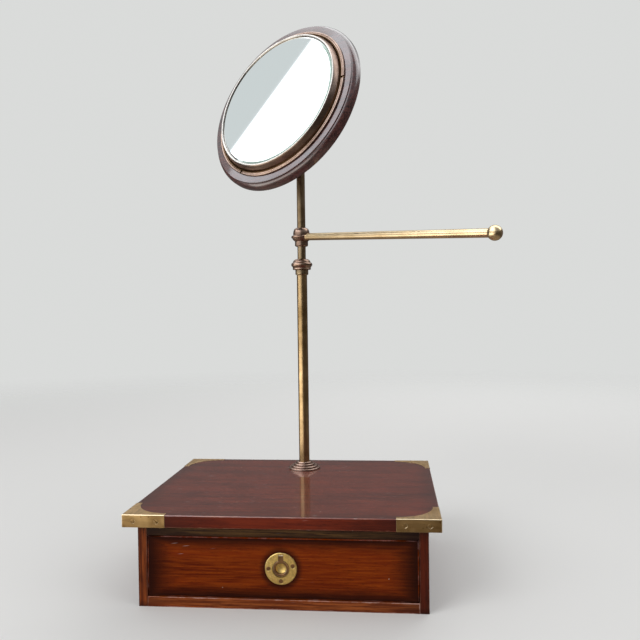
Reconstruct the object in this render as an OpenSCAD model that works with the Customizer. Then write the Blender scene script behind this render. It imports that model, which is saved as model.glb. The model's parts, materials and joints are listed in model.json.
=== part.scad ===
// Campaign vanity mirror: a box with one drawer, a telescopic brass pole with a swinging arm, and a round
// mirror on a tilting knuckle.
// The origin is at the middle of the box's underside. +X is to the right, +Y to the back and +Z up.

/* [Base] */
// Width of the top board
board_w = 305; // [280:1:340]
// Depth of the top board
board_d = 254; // [230:1:290]
// Thickness of the top board
board_t = 12; // [10:0.5:16]
// Chamfer round the top board's edges
board_edge = 0.8; // [0.4:0.1:1]
// Height of the carcase under the top board
case_h = 81; // [72:1:110]
// Overhang of the top board at each side
over_side = 11.5; // [6:0.5:16]
// Overhang of the top board at the front and the back
over_front = 11; // [6:0.5:16]
// Thickness of the side panels
side_t = 9; // [7:0.5:12]
// Thickness of the bottom board
bottom_t = 10; // [8:0.5:14]
// Height of the rail above the drawer
rail_h = 11; // [10:0.5:16]
// Depth of that rail, front to back
rail_d = 22; // [14:1:40]
// Thickness of the back panel
back_t = 6; // [4:0.5:9]
// Width of the rebates that hold the back panel
rebate = 4; // [2:0.5:5]
// Width of the kicker strips above the drawer's sides
kicker_w = 14; // [8:1:20]
// Side of the square drawer stops
stop_w = 16; // [10:1:24]
// Thickness of the drawer stops
stop_h = 3; // [2:0.5:4]

/* [Corner brasses] */
// Length of a corner brass along each edge of the board
corner_leg = 42; // [30:1:50]
// Width left at the ends of a corner brass's top plate
corner_tip = 6; // [4:0.5:10]
// Thickness of the corner brass
corner_t = 1.2; // [1:0.1:2]
// How far the brass stands proud of the wood
corner_proud = 0.25; // [0.1:0.05:0.4]
// Radius of the folded edges
corner_fold = 0.6; // [0.3:0.1:0.9]
// Distance from the corner to the first screw
screw_near = 10.5; // [7:0.5:14]
// Distance from the corner to the second screw
screw_far = 34; // [24:0.5:36]
// Head radius of the countersunk brass screws
screw_head_r = 2.3; // [1.8:0.1:3]
// Shank radius of those screws
screw_r = 1.1; // [0.8:0.1:1.5]
// Length of those screws behind the head
screw_len = 7; // [5:0.5:9]

/* [Drawer] */
// Thickness of the drawer front
front_t = 12; // [11:0.5:16]
// Bevel round the face of the drawer front
front_bevel = 1; // [0.5:0.1:2]
// Gap round the drawer front
drawer_gap = 0.5; // [0.3:0.1:1]
// Gap under the drawer's sides
run_gap = 0.2; // [0.1:0.05:0.4]
// Thickness of the drawer sides
dside_t = 6; // [5:0.5:8]
// How far the drawer sides stop below the top of the front
dside_drop = 1.5; // [0.5:0.5:4]
// Thickness of the drawer back
dback_t = 6; // [5:0.5:8]
// Thickness of the drawer bottom
dbottom_t = 4; // [3:0.5:5]
// Height of the drawer bottom above the front's lower edge
dbottom_lift = 5; // [4:0.5:8]
// Depth of the grooves that hold the drawer bottom
groove = 3; // [2:0.5:4]
// Free space behind the closed drawer
drawer_rear = 10; // [6:1:40]
// Length of the dovetails in the drawer front
tail_len = 8; // [6:0.5:9]
// Height of a dovetail at its root
tail_root = 10; // [6:0.5:11]
// Extra height of a dovetail at its end
tail_flare = 4; // [2:0.5:5]
// Number of dovetails in a drawer side
tail_count = 3; // [2:1:4]

/* [Ring pull] */
// Radius of the pull's plate
pull_r = 15.5; // [15:0.5:20]
// Thickness of the plate
pull_t = 4; // [3.8:0.1:5]
// How far the plate stands proud of the drawer front
pull_proud = 0.6; // [0.3:0.1:1]
// Chamfer round the plate
pull_edge = 0.6; // [0.3:0.1:1]
// Outer radius of the ring
ring_ro = 8; // [7:0.5:9]
// Inner radius of the ring
ring_ri = 5.1; // [4.6:0.1:6]
// Thickness of the ring
ring_t = 2.6; // [2.4:0.1:3]
// Gap between the ring and its recess
ring_gap = 0.4; // [0.2:0.1:0.6]
// Mouth radius of the finger cup behind the ring
cup_r = 6.4; // [5.5:0.1:7]
// Depth of the finger cup below the plate's face
cup_depth = 7; // [6:0.5:8]
// Wall of the finger cup
cup_wall = 1; // [0.8:0.1:1.5]
// Width of the tab that hinges the ring
tab_w = 4.8; // [4:0.2:6]
// Height of the hinge pin above the ring's centre
pin_up = 12.2; // [12:0.1:12.8]
// Radius of the hinge pin
pull_pin_r = 0.7; // [0.5:0.05:0.8]
// Radius of the circle through the plate's three screws
pull_screw_pcr = 11.9; // [11.5:0.1:12.5]

/* [Pole] */
// Distance from the board's back edge to the pole's axis
pole_inset = 47; // [40:1:60]
// Outer radius of the tube
tube_r = 6.3; // [6:0.1:7.5]
// Outer radius of the rod that slides in the tube
rod_r = 5.05; // [4.5:0.05:5.2]
// Radial gap between the rod's guide sleeve and the tube, and of every other running fit
fit = 0.05; // [0.03:0.01:0.08]
// Wall of the tube
tube_wall = 0.8; // [0.6:0.05:0.85]
// Length of the tube above the board
tube_len = 245; // [200:1:260]
// Radius of the flange's foot
flange_r = 19; // [17:0.5:24]
// Height of the flange
flange_h = 9; // [7:0.5:12]
// Radius of the ferrule under the clamp nut
ferrule_r = 7.9; // [7.5:0.1:9]
// Height of the ferrule
ferrule_h = 6.4; // [5:0.1:8]
// How far the tube's end stands above the ferrule, inside the nut
tube_neck = 2; // [1.5:0.1:3]
// Height of the split collet
collet_h = 8.6; // [7:0.1:9]
// Largest radius of the clamp nut
nut_r = 12.9; // [11.5:0.1:14]
// Height of the clamp nut
nut_h = 13; // [12.6:0.1:15]
// Radius of the stud that holds the pole to the board
stud_r = 3.5; // [3:0.1:4.5]
// Length of the stud's plug inside the tube
plug_len = 12; // [8:1:16]
// Radius of the washer under the board
washer_r = 9; // [8:0.5:12]
// Thickness of that washer
washer_t = 1.5; // [1:0.1:2]
// Thickness of the stud's nut
stud_nut_t = 5; // [4:0.5:6]
// Stud that stands out below its nut
stud_tail = 1.5; // [0.5:0.5:2]

/* [Rod] */
// Height of the tilt bolt above the tube's end
tilt_rise = 180; // [175:1:205]
// Length of rod inside the tube, its guide spigot left out
rod_hidden = 70; // [60:1:100]
// Radius of the spigot at the rod's foot
spigot_r = 4; // [3.5:0.1:4.1]
// Length of the guide sleeve on the spigot
guide_len = 30; // [20:1:40]
// Height of the fork below the tilt bolt
fork_h = 22; // [20:0.5:30]
// Radius of the fork's body
fork_r = 8.6; // [8.4:0.1:10]
// Half the width of the fork's flats
fork_half = 7.2; // [6.6:0.1:7.6]
// Radius of the fork's rounded ears
ear_r = 6.5; // [6:0.1:7]
// Width of the tongue between the ears
tongue_w = 5; // [4:0.1:6]
// Radius of the tilt bolt
bolt_r = 2.5; // [2:0.1:3]
// Radius of the tilt knob
knob_r = 8.5; // [7.5:0.5:10]
// Length of the tilt knob's grip
knob_len = 9; // [7:0.5:12]

/* [Arm] */
// Height of the arm above the tube's end
arm_rise = 38.4; // [33:0.2:39]
// Height of the collar around the arm
collar_h = 15.4; // [14:0.2:17]
// Largest radius of the collar
collar_r = 12.4; // [11.5:0.1:14]
// Height of the sleeve's skirt below the collar
skirt_h = 6.4; // [5:0.2:8]
// Radius of the skirt
skirt_r = 8; // [7.5:0.1:9]
// Wall of the sleeve inside the collar
sleeve_wall = 1.45; // [1.2:0.05:1.8]
// Radius of the arm
arm_r = 4.35; // [3.8:0.05:4.6]
// Distance from the pole's axis to the ball's centre
arm_len = 288; // [200:1:320]
// Radius of the ball
ball_r = 7.25; // [6.5:0.05:9]
// How far the arm points to the front from straight right, in degrees
arm_turn = 45; // [0:1:90]
// How far the arm slopes down, in degrees
arm_droop = 4; // [0:0.5:5]
// Radius of the collar's thumb screw
thumb_r = 5.5; // [5:0.1:7]

/* [Mirror head] */
// How far the mirror is turned to the left, in degrees
head_turn = 34; // [0:1:60]
// How far the mirror faces upwards, in degrees
head_up = 19.8; // [0:0.2:40]
// Radius of the wooden frame ring
frame_r = 107; // [102:1:120]
// Thickness of the frame ring
frame_t = 16; // [14:0.5:20]
// Distance from the tilt bolt to the back of the frame
head_gap = 22; // [21:0.5:30]
// Width of the moulding round the frame's front
mould_w = 4.2; // [3.6:0.1:8]
// Height of the moulding
mould_h = 7; // [5:0.1:9]
// Step between the frame's flat face and the moulding
mould_step = 1.4; // [0.6:0.1:2]
// Radius of the hole through the frame ring
frame_hole_r = 74; // [60:1:76]
// Thickness of the back board
backing_t = 8; // [6:0.5:10]
// Radius of the back board
backing_r = 95.5; // [85:0.5:98]
// Outer radius of the two reeds round the drum's foot
reeds_r = 94.5; // [93:0.5:98]
// Radius of each reed's section
reed_r = 1.2; // [0.8:0.1:1.3]
// Outer radius of the drum's rim
rim_r = 86; // [83:0.1:86.5]
// Wall of the drum at its rim
drum_wall = 1.5; // [1.2:0.1:2]
// Height of the drum in front of the frame
drum_h = 9.5; // [8.5:0.1:14]
// Thickness of the glass
glass_t = 3.2; // [2:0.1:4]
// Width of the glass lip over the edge of the glass
lip_cover = 0.9; // [0.8:0.1:2.5]
// Thickness of the glass lip
lip_t = 0.6; // [0.5:0.1:1]
// Depth of the glass below the drum's rim
glass_in = 0.7; // [0.5:0.1:1.2]
// Thickness of the felt pad behind the glass
felt_t = 0.8; // [0.5:0.1:1.5]
// Angle of the first fixing pin round the drum, in degrees
pin_angle = 8; // [0:1:30]
// Radius of the fixing pins
drum_pin_r = 1.2; // [0.8:0.1:1.5]
// Radius of the bracket's plate
bracket_r = 21; // [18:0.5:26]
// Thickness of the bracket's plate
bracket_t = 2; // [1.6:0.1:3]
// Radius of the circle through the bracket's screws
bracket_pcr = 15.5; // [14.5:0.5:16]

/* [Hidden] */
$fn = 72;
smooth_fn = 144;
eps = 0.01;
// Cutters reach this far past the faces that they cut
past = 2;

mahogany = [0.36, 0.15, 0.10];
drawer_wood = [0.45, 0.20, 0.09];
dark_wood = [0.16, 0.08, 0.08];
pale_wood = [0.62, 0.47, 0.30];
brass = [0.66, 0.53, 0.30];
dark_brass = [0.42, 0.32, 0.20];
felt_green = [0.15, 0.35, 0.22];
silvered = [0.80, 0.85, 0.84];

case_w = board_w - 2 * over_side;
case_d = board_d - 2 * over_front;
base_h = case_h + board_t;
open_w = case_w - 2 * side_t;
open_h = case_h - bottom_t - rail_h;
case_front = -case_d / 2;
back_y = case_d / 2 - back_t;

drawer_w = open_w - 2 * drawer_gap;
drawer_h = open_h - 2 * drawer_gap;
drawer_z = bottom_t + drawer_gap;
drawer_end = back_y - drawer_rear;
front_back_y = case_front + front_t;
dside_z = bottom_t + run_gap;
dside_h = drawer_z + drawer_h - dside_drop - dside_z;
dinner_w = drawer_w - 2 * dside_t;
dbottom_z = drawer_z + dbottom_lift;

pull_z = drawer_z + drawer_h / 2;
ring_float = 0.3;
pin_in = ring_t / 2 + ring_float;
recess_d = 2 * pin_in;
slot_side = 0.25;
pin_seat = 3;
pull_pin_len = tab_w + 2 * pin_seat;
boss_land = 1.4;
boss_r = cup_r + cup_wall + boss_land;
pull_screw_angles = [14, 180, 270];

pole_y = board_d / 2 - pole_inset;
tube_bore = tube_r - tube_wall;
tube_top = base_h + tube_len;
ferrule_z = tube_top - tube_neck - ferrule_h;
nut_gap = 0.2;
nut_z = tube_top - tube_neck + nut_gap;
nut_clear = 0.1;
nut_cavity_r = tube_r + nut_clear;
slit = 0.8;
collet_r = rod_r + fit;
collet_tip = 0.7;

pivot_z = tube_top + tilt_rise;
rod_top = pivot_z - fork_h;
rod_foot = tube_top - rod_hidden;
guide_end_gap = 0.4;
slit_share = 0.7;
spigot_len = guide_len + 2 * guide_end_gap;
fork_pin_r = 3;
fork_pin_len = 12;
fork_pin_end = 1;
face_gap = 0.1;
ear_gap = tongue_w / 2 + face_gap;
bolt_head_r = 4.2;
bolt_head_t = 2.2;
knob_gap = 0.3;
knob_start = fork_half + knob_gap;
knob_boss_r = 5;
knob_boss_len = 3;
flute_count = 16;

arm_height = tube_top + arm_rise;
collar_bead_up = 4.9;
bead_drop = 0.3;
collar_z = arm_height - collar_bead_up - bead_drop;
sleeve_r = rod_r + fit + sleeve_wall;
sleeve_rim = 0.5;
skirt_gap = 0.2;
arm_inset = 0.9;
arm_seat = collar_r - arm_inset;
arm_tenon_r = 2;
arm_tenon_len = 3;
thumb_shank_r = 2;
thumb_neck = 3;
thumb_len = 7;
socket_depth = 5;

frame_back = head_gap;
frame_face = head_gap + frame_t;
rim_z = frame_face + drum_h;
drum_in_r = rim_r - drum_wall;
glass_gap = 0.3;
glass_z = rim_z - glass_in - glass_t;
pack_t = glass_z - felt_t - frame_face;
tongue_r = 6;
pin_count = 3;
drum_pin_len = 3;
drum_pin_head = 1.8;
rim_edge = 0.5;
bracket_screw_count = 4;
bracket_screw_len = 6;

// Points of an arc round (cx, cy), from angle a0 to a1
function arc(cx, cy, r, a0, a1, n = 10) = [
    for (i = [0:n]) [cx + r * cos(a0 + (a1 - a0) * i / n), cy + r * sin(a0 + (a1 - a0) * i / n)]
];

// Points of part of an ellipse round (cx, cy)
function ellipse_arc(cx, cy, rx, ry, a0, a1, n = 10) = [
    for (i = [0:n]) [cx + rx * cos(a0 + (a1 - a0) * i / n), cy + ry * sin(a0 + (a1 - a0) * i / n)]
];

// A ring of rectangular section
module ring(r_out, r_in, h, z = 0) {
    translate([0, 0, z])
        difference() {
            cylinder(r = r_out, h = h);
            translate([0, 0, -past])
                cylinder(r = r_in, h = h + 2 * past);
        }
}

// A slab with chamfered edges all round, its lowest corner at the origin
module chamfered_slab(size, c) {
    hull() {
        translate([c, c, 0])
            cube([size.x - 2 * c, size.y - 2 * c, size.z]);
        translate([0, 0, c])
            cube([size.x, size.y, size.z - 2 * c]);
    }
}

// A countersunk screw: its head's face at z = 0, its point down
module countersunk(head_r, shank_r, length) {
    translate([0, 0, -head_r + shank_r])
        cylinder(r1 = shank_r, r2 = head_r, h = head_r - shank_r);
    translate([0, 0, -length])
        cylinder(r = shank_r, h = length - head_r + shank_r + eps);
}

// A turned grip with flutes round it, from z = 0 upwards
module fluted_grip(r, h, bore_r) {
    difference() {
        rotate_extrude()
            polygon([
                [bore_r, 0], [r - 0.8, 0], [r, 0.8], [r, h - 0.8], [r - 0.8, h], [bore_r, h]
            ]);
        for (i = [0:flute_count - 1])
            rotate(i * 360 / flute_count)
                translate([r + r * 0.04, 0, -past])
                    cylinder(r = r * 0.1, h = h + 2 * past, $fn = 24);
    }
}

// Places its children on the pole's axis, at board level
module on_pole() {
    translate([0, pole_y, 0])
        children();
}

// Places its children in the mirror head's frame: the tilt bolt on X, the mirror facing +Z
module in_head() {
    translate([0, pole_y, pivot_z])
        rotate([90 - head_up, 0, -head_turn])
            children();
}

// Places its children in the fork's frame: turned with the head, not tilted
module in_fork() {
    translate([0, pole_y, 0])
        rotate(-head_turn)
            children();
}

// Places its children on the arm's axis, which runs along +X from the pole
module on_arm() {
    translate([0, pole_y, arm_height])
        rotate([0, arm_droop, -arm_turn])
            children();
}

// Repeats its children at the four corners of the board, each time with the corner at the origin
module at_corner(sx, sy) {
    translate([sx * board_w / 2, sy * board_d / 2, case_h])
        mirror([sx > 0 ? 1 : 0, 0, 0])
            mirror([0, sy > 0 ? 1 : 0, 0])
                children();
}

// Plan of a corner brass's top plate, with its hollow inner edge
module corner_plan(grow) {
    difference() {
        translate([-grow, -grow])
            square(corner_leg + grow);
        translate([corner_leg, corner_leg])
            circle(r = corner_leg - corner_tip, $fn = smooth_fn);
    }
}

// The space that a corner brass fills: `grow` beyond the board's faces and `below` under the board
module corner_space(grow, below) {
    inside = corner_t - corner_proud;
    translate([0, 0, board_t - inside])
        linear_extrude(inside + grow)
            corner_plan(grow);
    translate([-grow, -grow, -below])
        cube([corner_leg + grow, inside + grow, board_t + below]);
    translate([-grow, -grow, -below])
        cube([inside + grow, corner_leg + grow, board_t + below]);
}

// A square with the corner at the origin rounded
module fold_profile(side) {
    polygon(concat(
        arc(corner_fold, corner_fold, corner_fold, 180, 270, 5),
        [[side, 0], [side, side], [0, side]]
    ));
}

// A block with its three outer folds rounded, reaching past the ends of a corner brass
module folded_block() {
    side = 2 * corner_leg;
    top = board_t + corner_proud;
    intersection() {
        translate([-corner_proud, -corner_proud, top - side])
            linear_extrude(side)
                fold_profile(side);
        translate([-corner_proud, -corner_proud, top])
            rotate([90, 0, 90])
                linear_extrude(side)
                    mirror([0, 1])
                        fold_profile(side);
        translate([-corner_proud, side - corner_proud, top])
            rotate([90, 0, 0])
                linear_extrude(side)
                    mirror([0, 1])
                        fold_profile(side);
    }
}

// Repeats its children at a corner brass's four screws, each screw's head facing +Z
module at_corner_screws() {
    for (d = [screw_near, screw_far]) {
        translate([d, -corner_proud, board_t / 2])
            rotate([90, 0, 0])
                children();
        translate([-corner_proud, d, board_t / 2])
            rotate([0, -90, 0])
                children();
    }
}

module corner_brass(sx, sy) {
    color(brass)
        at_corner(sx, sy)
            difference() {
                intersection() {
                    corner_space(corner_proud, 0);
                    folded_block();
                }
                at_corner_screws()
                    countersunk(screw_head_r, screw_r, screw_len);
            }
}

module corner_front_left() { corner_brass(-1, -1); }
module corner_front_right() { corner_brass(1, -1); }
module corner_back_left() { corner_brass(-1, 1); }
module corner_back_right() { corner_brass(1, 1); }

module corner_screws() {
    color(dark_brass)
        for (sx = [-1, 1], sy = [-1, 1])
            at_corner(sx, sy)
                at_corner_screws()
                    countersunk(screw_head_r, screw_r, screw_len);
}

module top_board() {
    color(mahogany)
        difference() {
            translate([-board_w / 2, -board_d / 2, case_h])
                chamfered_slab([board_w, board_d, board_t], board_edge);
            for (sx = [-1, 1], sy = [-1, 1])
                at_corner(sx, sy) {
                    corner_space(past, past);
                    at_corner_screws()
                        countersunk(screw_head_r, screw_r, screw_len);
                }
            on_pole()
                translate([0, 0, case_h - past])
                    cylinder(r = stud_r, h = board_t + 2 * past);
        }
}

// The left side panel, with the rebate for the back panel along its inner rear edge
module side_panel() {
    difference() {
        translate([-case_w / 2, case_front, 0])
            cube([side_t, case_d, case_h]);
        translate([-case_w / 2 + side_t - rebate, back_y, -past])
            cube([rebate + past, back_t + past, case_h + 2 * past]);
    }
}

module side_left() {
    color(mahogany)
        side_panel();
}

module side_right() {
    color(mahogany)
        mirror([1, 0, 0])
            side_panel();
}

module back_panel() {
    color(pale_wood)
        translate([-open_w / 2 - rebate, back_y, 0])
            cube([open_w + 2 * rebate, back_t, case_h]);
}

module bottom_board() {
    edge = 1;
    color(mahogany)
        translate([-open_w / 2, back_y, 0])
            rotate([90, 0, 90])
                linear_extrude(open_w)
                    polygon(concat(
                        [[0, 0], [case_front - back_y, 0]],
                        arc(case_front - back_y + edge, bottom_t - edge, edge, 180, 90, 6),
                        [[0, bottom_t]]
                    ));
}

module top_rail() {
    color(mahogany)
        translate([-open_w / 2, case_front, case_h - rail_h])
            cube([open_w, rail_d, rail_h]);
}

module kickers() {
    color(pale_wood)
        for (s = [0, 1])
            mirror([s, 0, 0])
                translate([-open_w / 2, case_front + rail_d, case_h - rail_h])
                    cube([kicker_w, case_d - back_t - rail_d, rail_h]);
}

module drawer_stops() {
    color(pale_wood)
        for (s = [0, 1])
            mirror([s, 0, 0])
                translate([open_w / 4 - stop_w / 2, front_back_y, bottom_t])
                    cube([stop_w, stop_w, stop_h]);
}

module pole_flange() {
    steps = [1, 0.86, 0.66, 0.51];
    last = len(steps) - 1;
    tier = flange_h / len(steps);
    round_r = tier * 0.45;
    function tier_top(i) = base_h + tier * (i + 1);
    color(brass)
        on_pole()
            rotate_extrude($fn = smooth_fn)
                polygon(concat(
                    [[tube_r, base_h], [flange_r, base_h]],
                    [
                        for (i = [0:last])
                            each concat(
                                arc(flange_r * steps[i] - round_r, tier_top(i) - round_r, round_r, 0, 90, 5),
                                i < last ? [[flange_r * steps[i + 1], tier_top(i)]] : []
                            )
                    ],
                    [[tube_r, base_h + flange_h]]
                ));
}

module pole_stud() {
    stud_foot = case_h - washer_t - stud_nut_t - stud_tail;
    color(dark_brass)
        on_pole() {
            translate([0, 0, stud_foot])
                cylinder(r = stud_r, h = base_h - stud_foot + eps);
            translate([0, 0, base_h])
                cylinder(r = tube_bore, h = plug_len);
        }
}

module stud_washer() {
    color(brass)
        on_pole()
            ring(washer_r, stud_r, washer_t, case_h - washer_t);
}

module stud_nut() {
    corner_r = 1.95 * stud_r;
    color(brass)
        on_pole()
            translate([0, 0, case_h - washer_t - stud_nut_t])
                difference() {
                    cylinder(r = corner_r, h = stud_nut_t, $fn = 6);
                    translate([0, 0, -past])
                        cylinder(r = stud_r, h = stud_nut_t + 2 * past);
                }
}

module outer_tube() {
    color(brass)
        on_pole()
            ring(tube_r, tube_bore, tube_len, base_h);
}

module tube_ferrule() {
    foot_r = 1;
    top_r = 0.5;
    color(brass)
        on_pole()
            rotate_extrude()
                polygon(concat(
                    [[tube_r, ferrule_z]],
                    arc(ferrule_r - foot_r, ferrule_z + 1.4 * foot_r, foot_r, -60, 0, 4),
                    arc(ferrule_r - top_r, ferrule_z + ferrule_h - top_r, top_r, 0, 90, 4),
                    [[tube_r, ferrule_z + ferrule_h]]
                ));
}

module collet() {
    color(dark_brass)
        on_pole()
            difference() {
                rotate_extrude()
                    polygon([
                        [collet_r, tube_top], [tube_r, tube_top], [tube_r, tube_top + collet_h / 2],
                        [collet_r + collet_tip, tube_top + collet_h], [collet_r, tube_top + collet_h]
                    ]);
                for (a = [0, 90])
                    rotate(a)
                        translate([-slit / 2, -nut_r, tube_top + collet_h / 4])
                            cube([slit, 2 * nut_r, collet_h]);
            }
}

module clamp_nut() {
    top = nut_z + nut_h;
    small_bead_r = 1.1;
    bead_z = nut_z + 6.2;
    big_bead_r = 2.7;
    waist = 0.87;
    dome_foot = bead_z + 1.8;
    mouth_r = rod_r + nut_clear;
    dome_r = rod_r + 1;
    inner_top = tube_top + collet_h + nut_gap;
    color(brass)
        on_pole()
            rotate_extrude($fn = smooth_fn)
                polygon(concat(
                    [[tube_r + fit, nut_z]],
                    arc(nut_r * waist - small_bead_r, nut_z + small_bead_r, small_bead_r, -90, 60, 6),
                    arc(nut_r - big_bead_r, bead_z, big_bead_r, -55, 75, 10),
                    ellipse_arc(dome_r, dome_foot, nut_r - dome_r - 2, top - dome_foot, 0, 90, 10),
                    [
                        [mouth_r, top], [mouth_r, inner_top],
                        [collet_r + collet_tip + nut_clear, inner_top],
                        [nut_cavity_r, tube_top + collet_h / 2], [nut_cavity_r, tube_top],
                        [tube_r + fit, tube_top]
                    ]
                ));
}

// Prisms of the dovetails that join a drawer side to the front, from x = 0 to the side's thickness
module dovetails() {
    pitch = (dside_h - drawer_gap) / tail_count;
    root = min(tail_root, pitch - tail_flare - 1);
    lap = 1;
    rotate([90, 0, 90])
        linear_extrude(dside_t)
            for (i = [0:tail_count - 1])
                translate([front_back_y, drawer_z + pitch * (i + 0.5)])
                    polygon([
                        [lap, -root / 2], [0, -root / 2], [-tail_len, -(root + tail_flare) / 2],
                        [-tail_len, (root + tail_flare) / 2], [0, root / 2], [lap, root / 2]
                    ]);
}

module drawer_bottom_panel() {
    translate([-dinner_w / 2 - groove, front_back_y - groove, dbottom_z])
        cube([dinner_w + 2 * groove, drawer_end - front_back_y + groove, dbottom_t]);
}

// The space that the pull's plate and cup fill in the drawer front
module pull_space() {
    translate([0, case_front, pull_z])
        rotate([90, 0, 0]) {
            translate([0, 0, pull_proud - pull_t])
                cylinder(r = pull_r, h = pull_t);
            translate([0, 0, pull_proud - cup_depth - cup_wall])
                cylinder(r = boss_r, h = cup_depth);
        }
}

// Places its children on the pull, with the plate's face at z = 0 and up along +Y
module on_pull() {
    translate([0, case_front - pull_proud, pull_z])
        rotate([90, 0, 0])
            children();
}

module at_pull_screws() {
    for (a = pull_screw_angles)
        rotate(a)
            translate([pull_screw_pcr, 0, 0])
                children();
}

module drawer_front() {
    color(drawer_wood)
        difference() {
            hull() {
                translate([-drawer_w / 2 + front_bevel, case_front, drawer_z + front_bevel])
                    cube([drawer_w - 2 * front_bevel, front_t, drawer_h - 2 * front_bevel]);
                translate([-drawer_w / 2, case_front + front_bevel, drawer_z])
                    cube([drawer_w, front_t - front_bevel, drawer_h]);
            }
            for (s = [0, 1])
                mirror([s, 0, 0])
                    translate([-drawer_w / 2, 0, 0])
                        dovetails();
            drawer_bottom_panel();
            pull_space();
            on_pull()
                at_pull_screws()
                    countersunk(screw_head_r, screw_r, screw_len + pull_t - cup_wall);
        }
}

// The left drawer side, with its dovetails and the groove for the bottom
module drawer_side() {
    difference() {
        union() {
            translate([-drawer_w / 2, front_back_y, dside_z])
                cube([dside_t, drawer_end - front_back_y, dside_h]);
            translate([-drawer_w / 2, 0, 0])
                dovetails();
        }
        drawer_bottom_panel();
    }
}

module drawer_side_left() {
    color(pale_wood)
        drawer_side();
}

module drawer_side_right() {
    color(pale_wood)
        mirror([1, 0, 0])
            drawer_side();
}

module drawer_back() {
    z = dbottom_z + dbottom_t;
    color(pale_wood)
        translate([-dinner_w / 2, drawer_end - dback_t, z])
            cube([dinner_w, dback_t, dside_z + dside_h - z]);
}

module drawer_bottom() {
    color(pale_wood)
        drawer_bottom_panel();
}

module pull_plate() {
    slot_w = tab_w + 2 * slot_side;
    slot_end = pin_up + ring_t / 2 + ring_gap;
    color(brass)
        on_pull()
            difference() {
                rotate_extrude($fn = smooth_fn)
                    polygon(concat(
                        [
                            [0, -cup_depth - cup_wall], [boss_r, -cup_depth - cup_wall], [boss_r, -pull_t],
                            [pull_r, -pull_t], [pull_r, -pull_edge], [pull_r - pull_edge, 0],
                            [ring_ro + ring_gap, 0], [ring_ro + ring_gap, -recess_d]
                        ],
                        ellipse_arc(0, -recess_d, cup_r, cup_depth - recess_d, 0, -90, 10)
                    ));
                translate([-slot_w / 2, ring_ro - 1, -recess_d])
                    cube([slot_w, slot_end - ring_ro + 1, recess_d + past]);
                translate([0, pin_up, -pin_in])
                    rotate([0, 90, 0])
                        cylinder(r = pull_pin_r, h = pull_pin_len, center = true);
                at_pull_screws()
                    countersunk(screw_head_r, screw_r, screw_len + pull_t);
            }
}

module pull_screws() {
    color(dark_brass)
        on_pull()
            at_pull_screws()
                countersunk(screw_head_r, screw_r, screw_len + pull_t - cup_wall);
}

module pull_pin() {
    color(dark_brass)
        on_pull()
            translate([0, pin_up, -pin_in])
                rotate([0, 90, 0])
                    cylinder(r = pull_pin_r, h = pull_pin_len, center = true);
}

module pull_ring() {
    edge = 0.7;
    mid_r = (ring_ro + ring_ri) / 2;
    color(dark_brass)
        on_pull()
            translate([0, 0, -pin_in])
                difference() {
                    union() {
                        rotate_extrude()
                            polygon(concat(
                                arc(ring_ro - edge, -ring_t / 2 + edge, edge, -90, 0, 4),
                                arc(ring_ro - edge, ring_t / 2 - edge, edge, 0, 90, 4),
                                arc(ring_ri + edge, ring_t / 2 - edge, edge, 90, 180, 4),
                                arc(ring_ri + edge, -ring_t / 2 + edge, edge, 180, 270, 4)
                            ));
                        translate([-tab_w / 2, mid_r, -ring_t / 2])
                            cube([tab_w, pin_up - mid_r, ring_t]);
                        translate([0, pin_up, 0])
                            rotate([0, 90, 0])
                                cylinder(r = ring_t / 2, h = tab_w, center = true);
                    }
                    translate([0, pin_up, 0])
                        rotate([0, 90, 0])
                            cylinder(r = pull_pin_r + fit, h = tab_w + past, center = true);
                }
}

module rod_guide() {
    color(dark_brass)
        on_pole()
            difference() {
                ring(tube_bore - fit, spigot_r + fit, guide_len, rod_foot - guide_end_gap - guide_len);
                translate([0, -slit / 2, rod_foot - guide_end_gap - guide_len - past])
                    cube([tube_r, slit, slit_share * guide_len + past]);
            }
}

module inner_rod() {
    color(brass)
        on_pole()
            difference() {
                union() {
                    translate([0, 0, rod_foot])
                        cylinder(r = rod_r, h = rod_top - rod_foot);
                    translate([0, 0, rod_foot - spigot_len])
                        cylinder(r = spigot_r, h = spigot_len + eps);
                }
                translate([0, 0, rod_top - fork_pin_len])
                    cylinder(r = fork_pin_r, h = fork_pin_len + past);
                translate([0, 0, rod_foot - spigot_len - past])
                    cylinder(r = screw_r, h = screw_len + past);
            }
}

module guide_screw() {
    head_t = 1.6;
    color(dark_brass)
        on_pole() {
            translate([0, 0, rod_foot - spigot_len - head_t])
                cylinder(r = tube_bore - 4 * fit, h = head_t);
            translate([0, 0, rod_foot - spigot_len - eps])
                cylinder(r = screw_r, h = screw_len + eps);
        }
}

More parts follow.
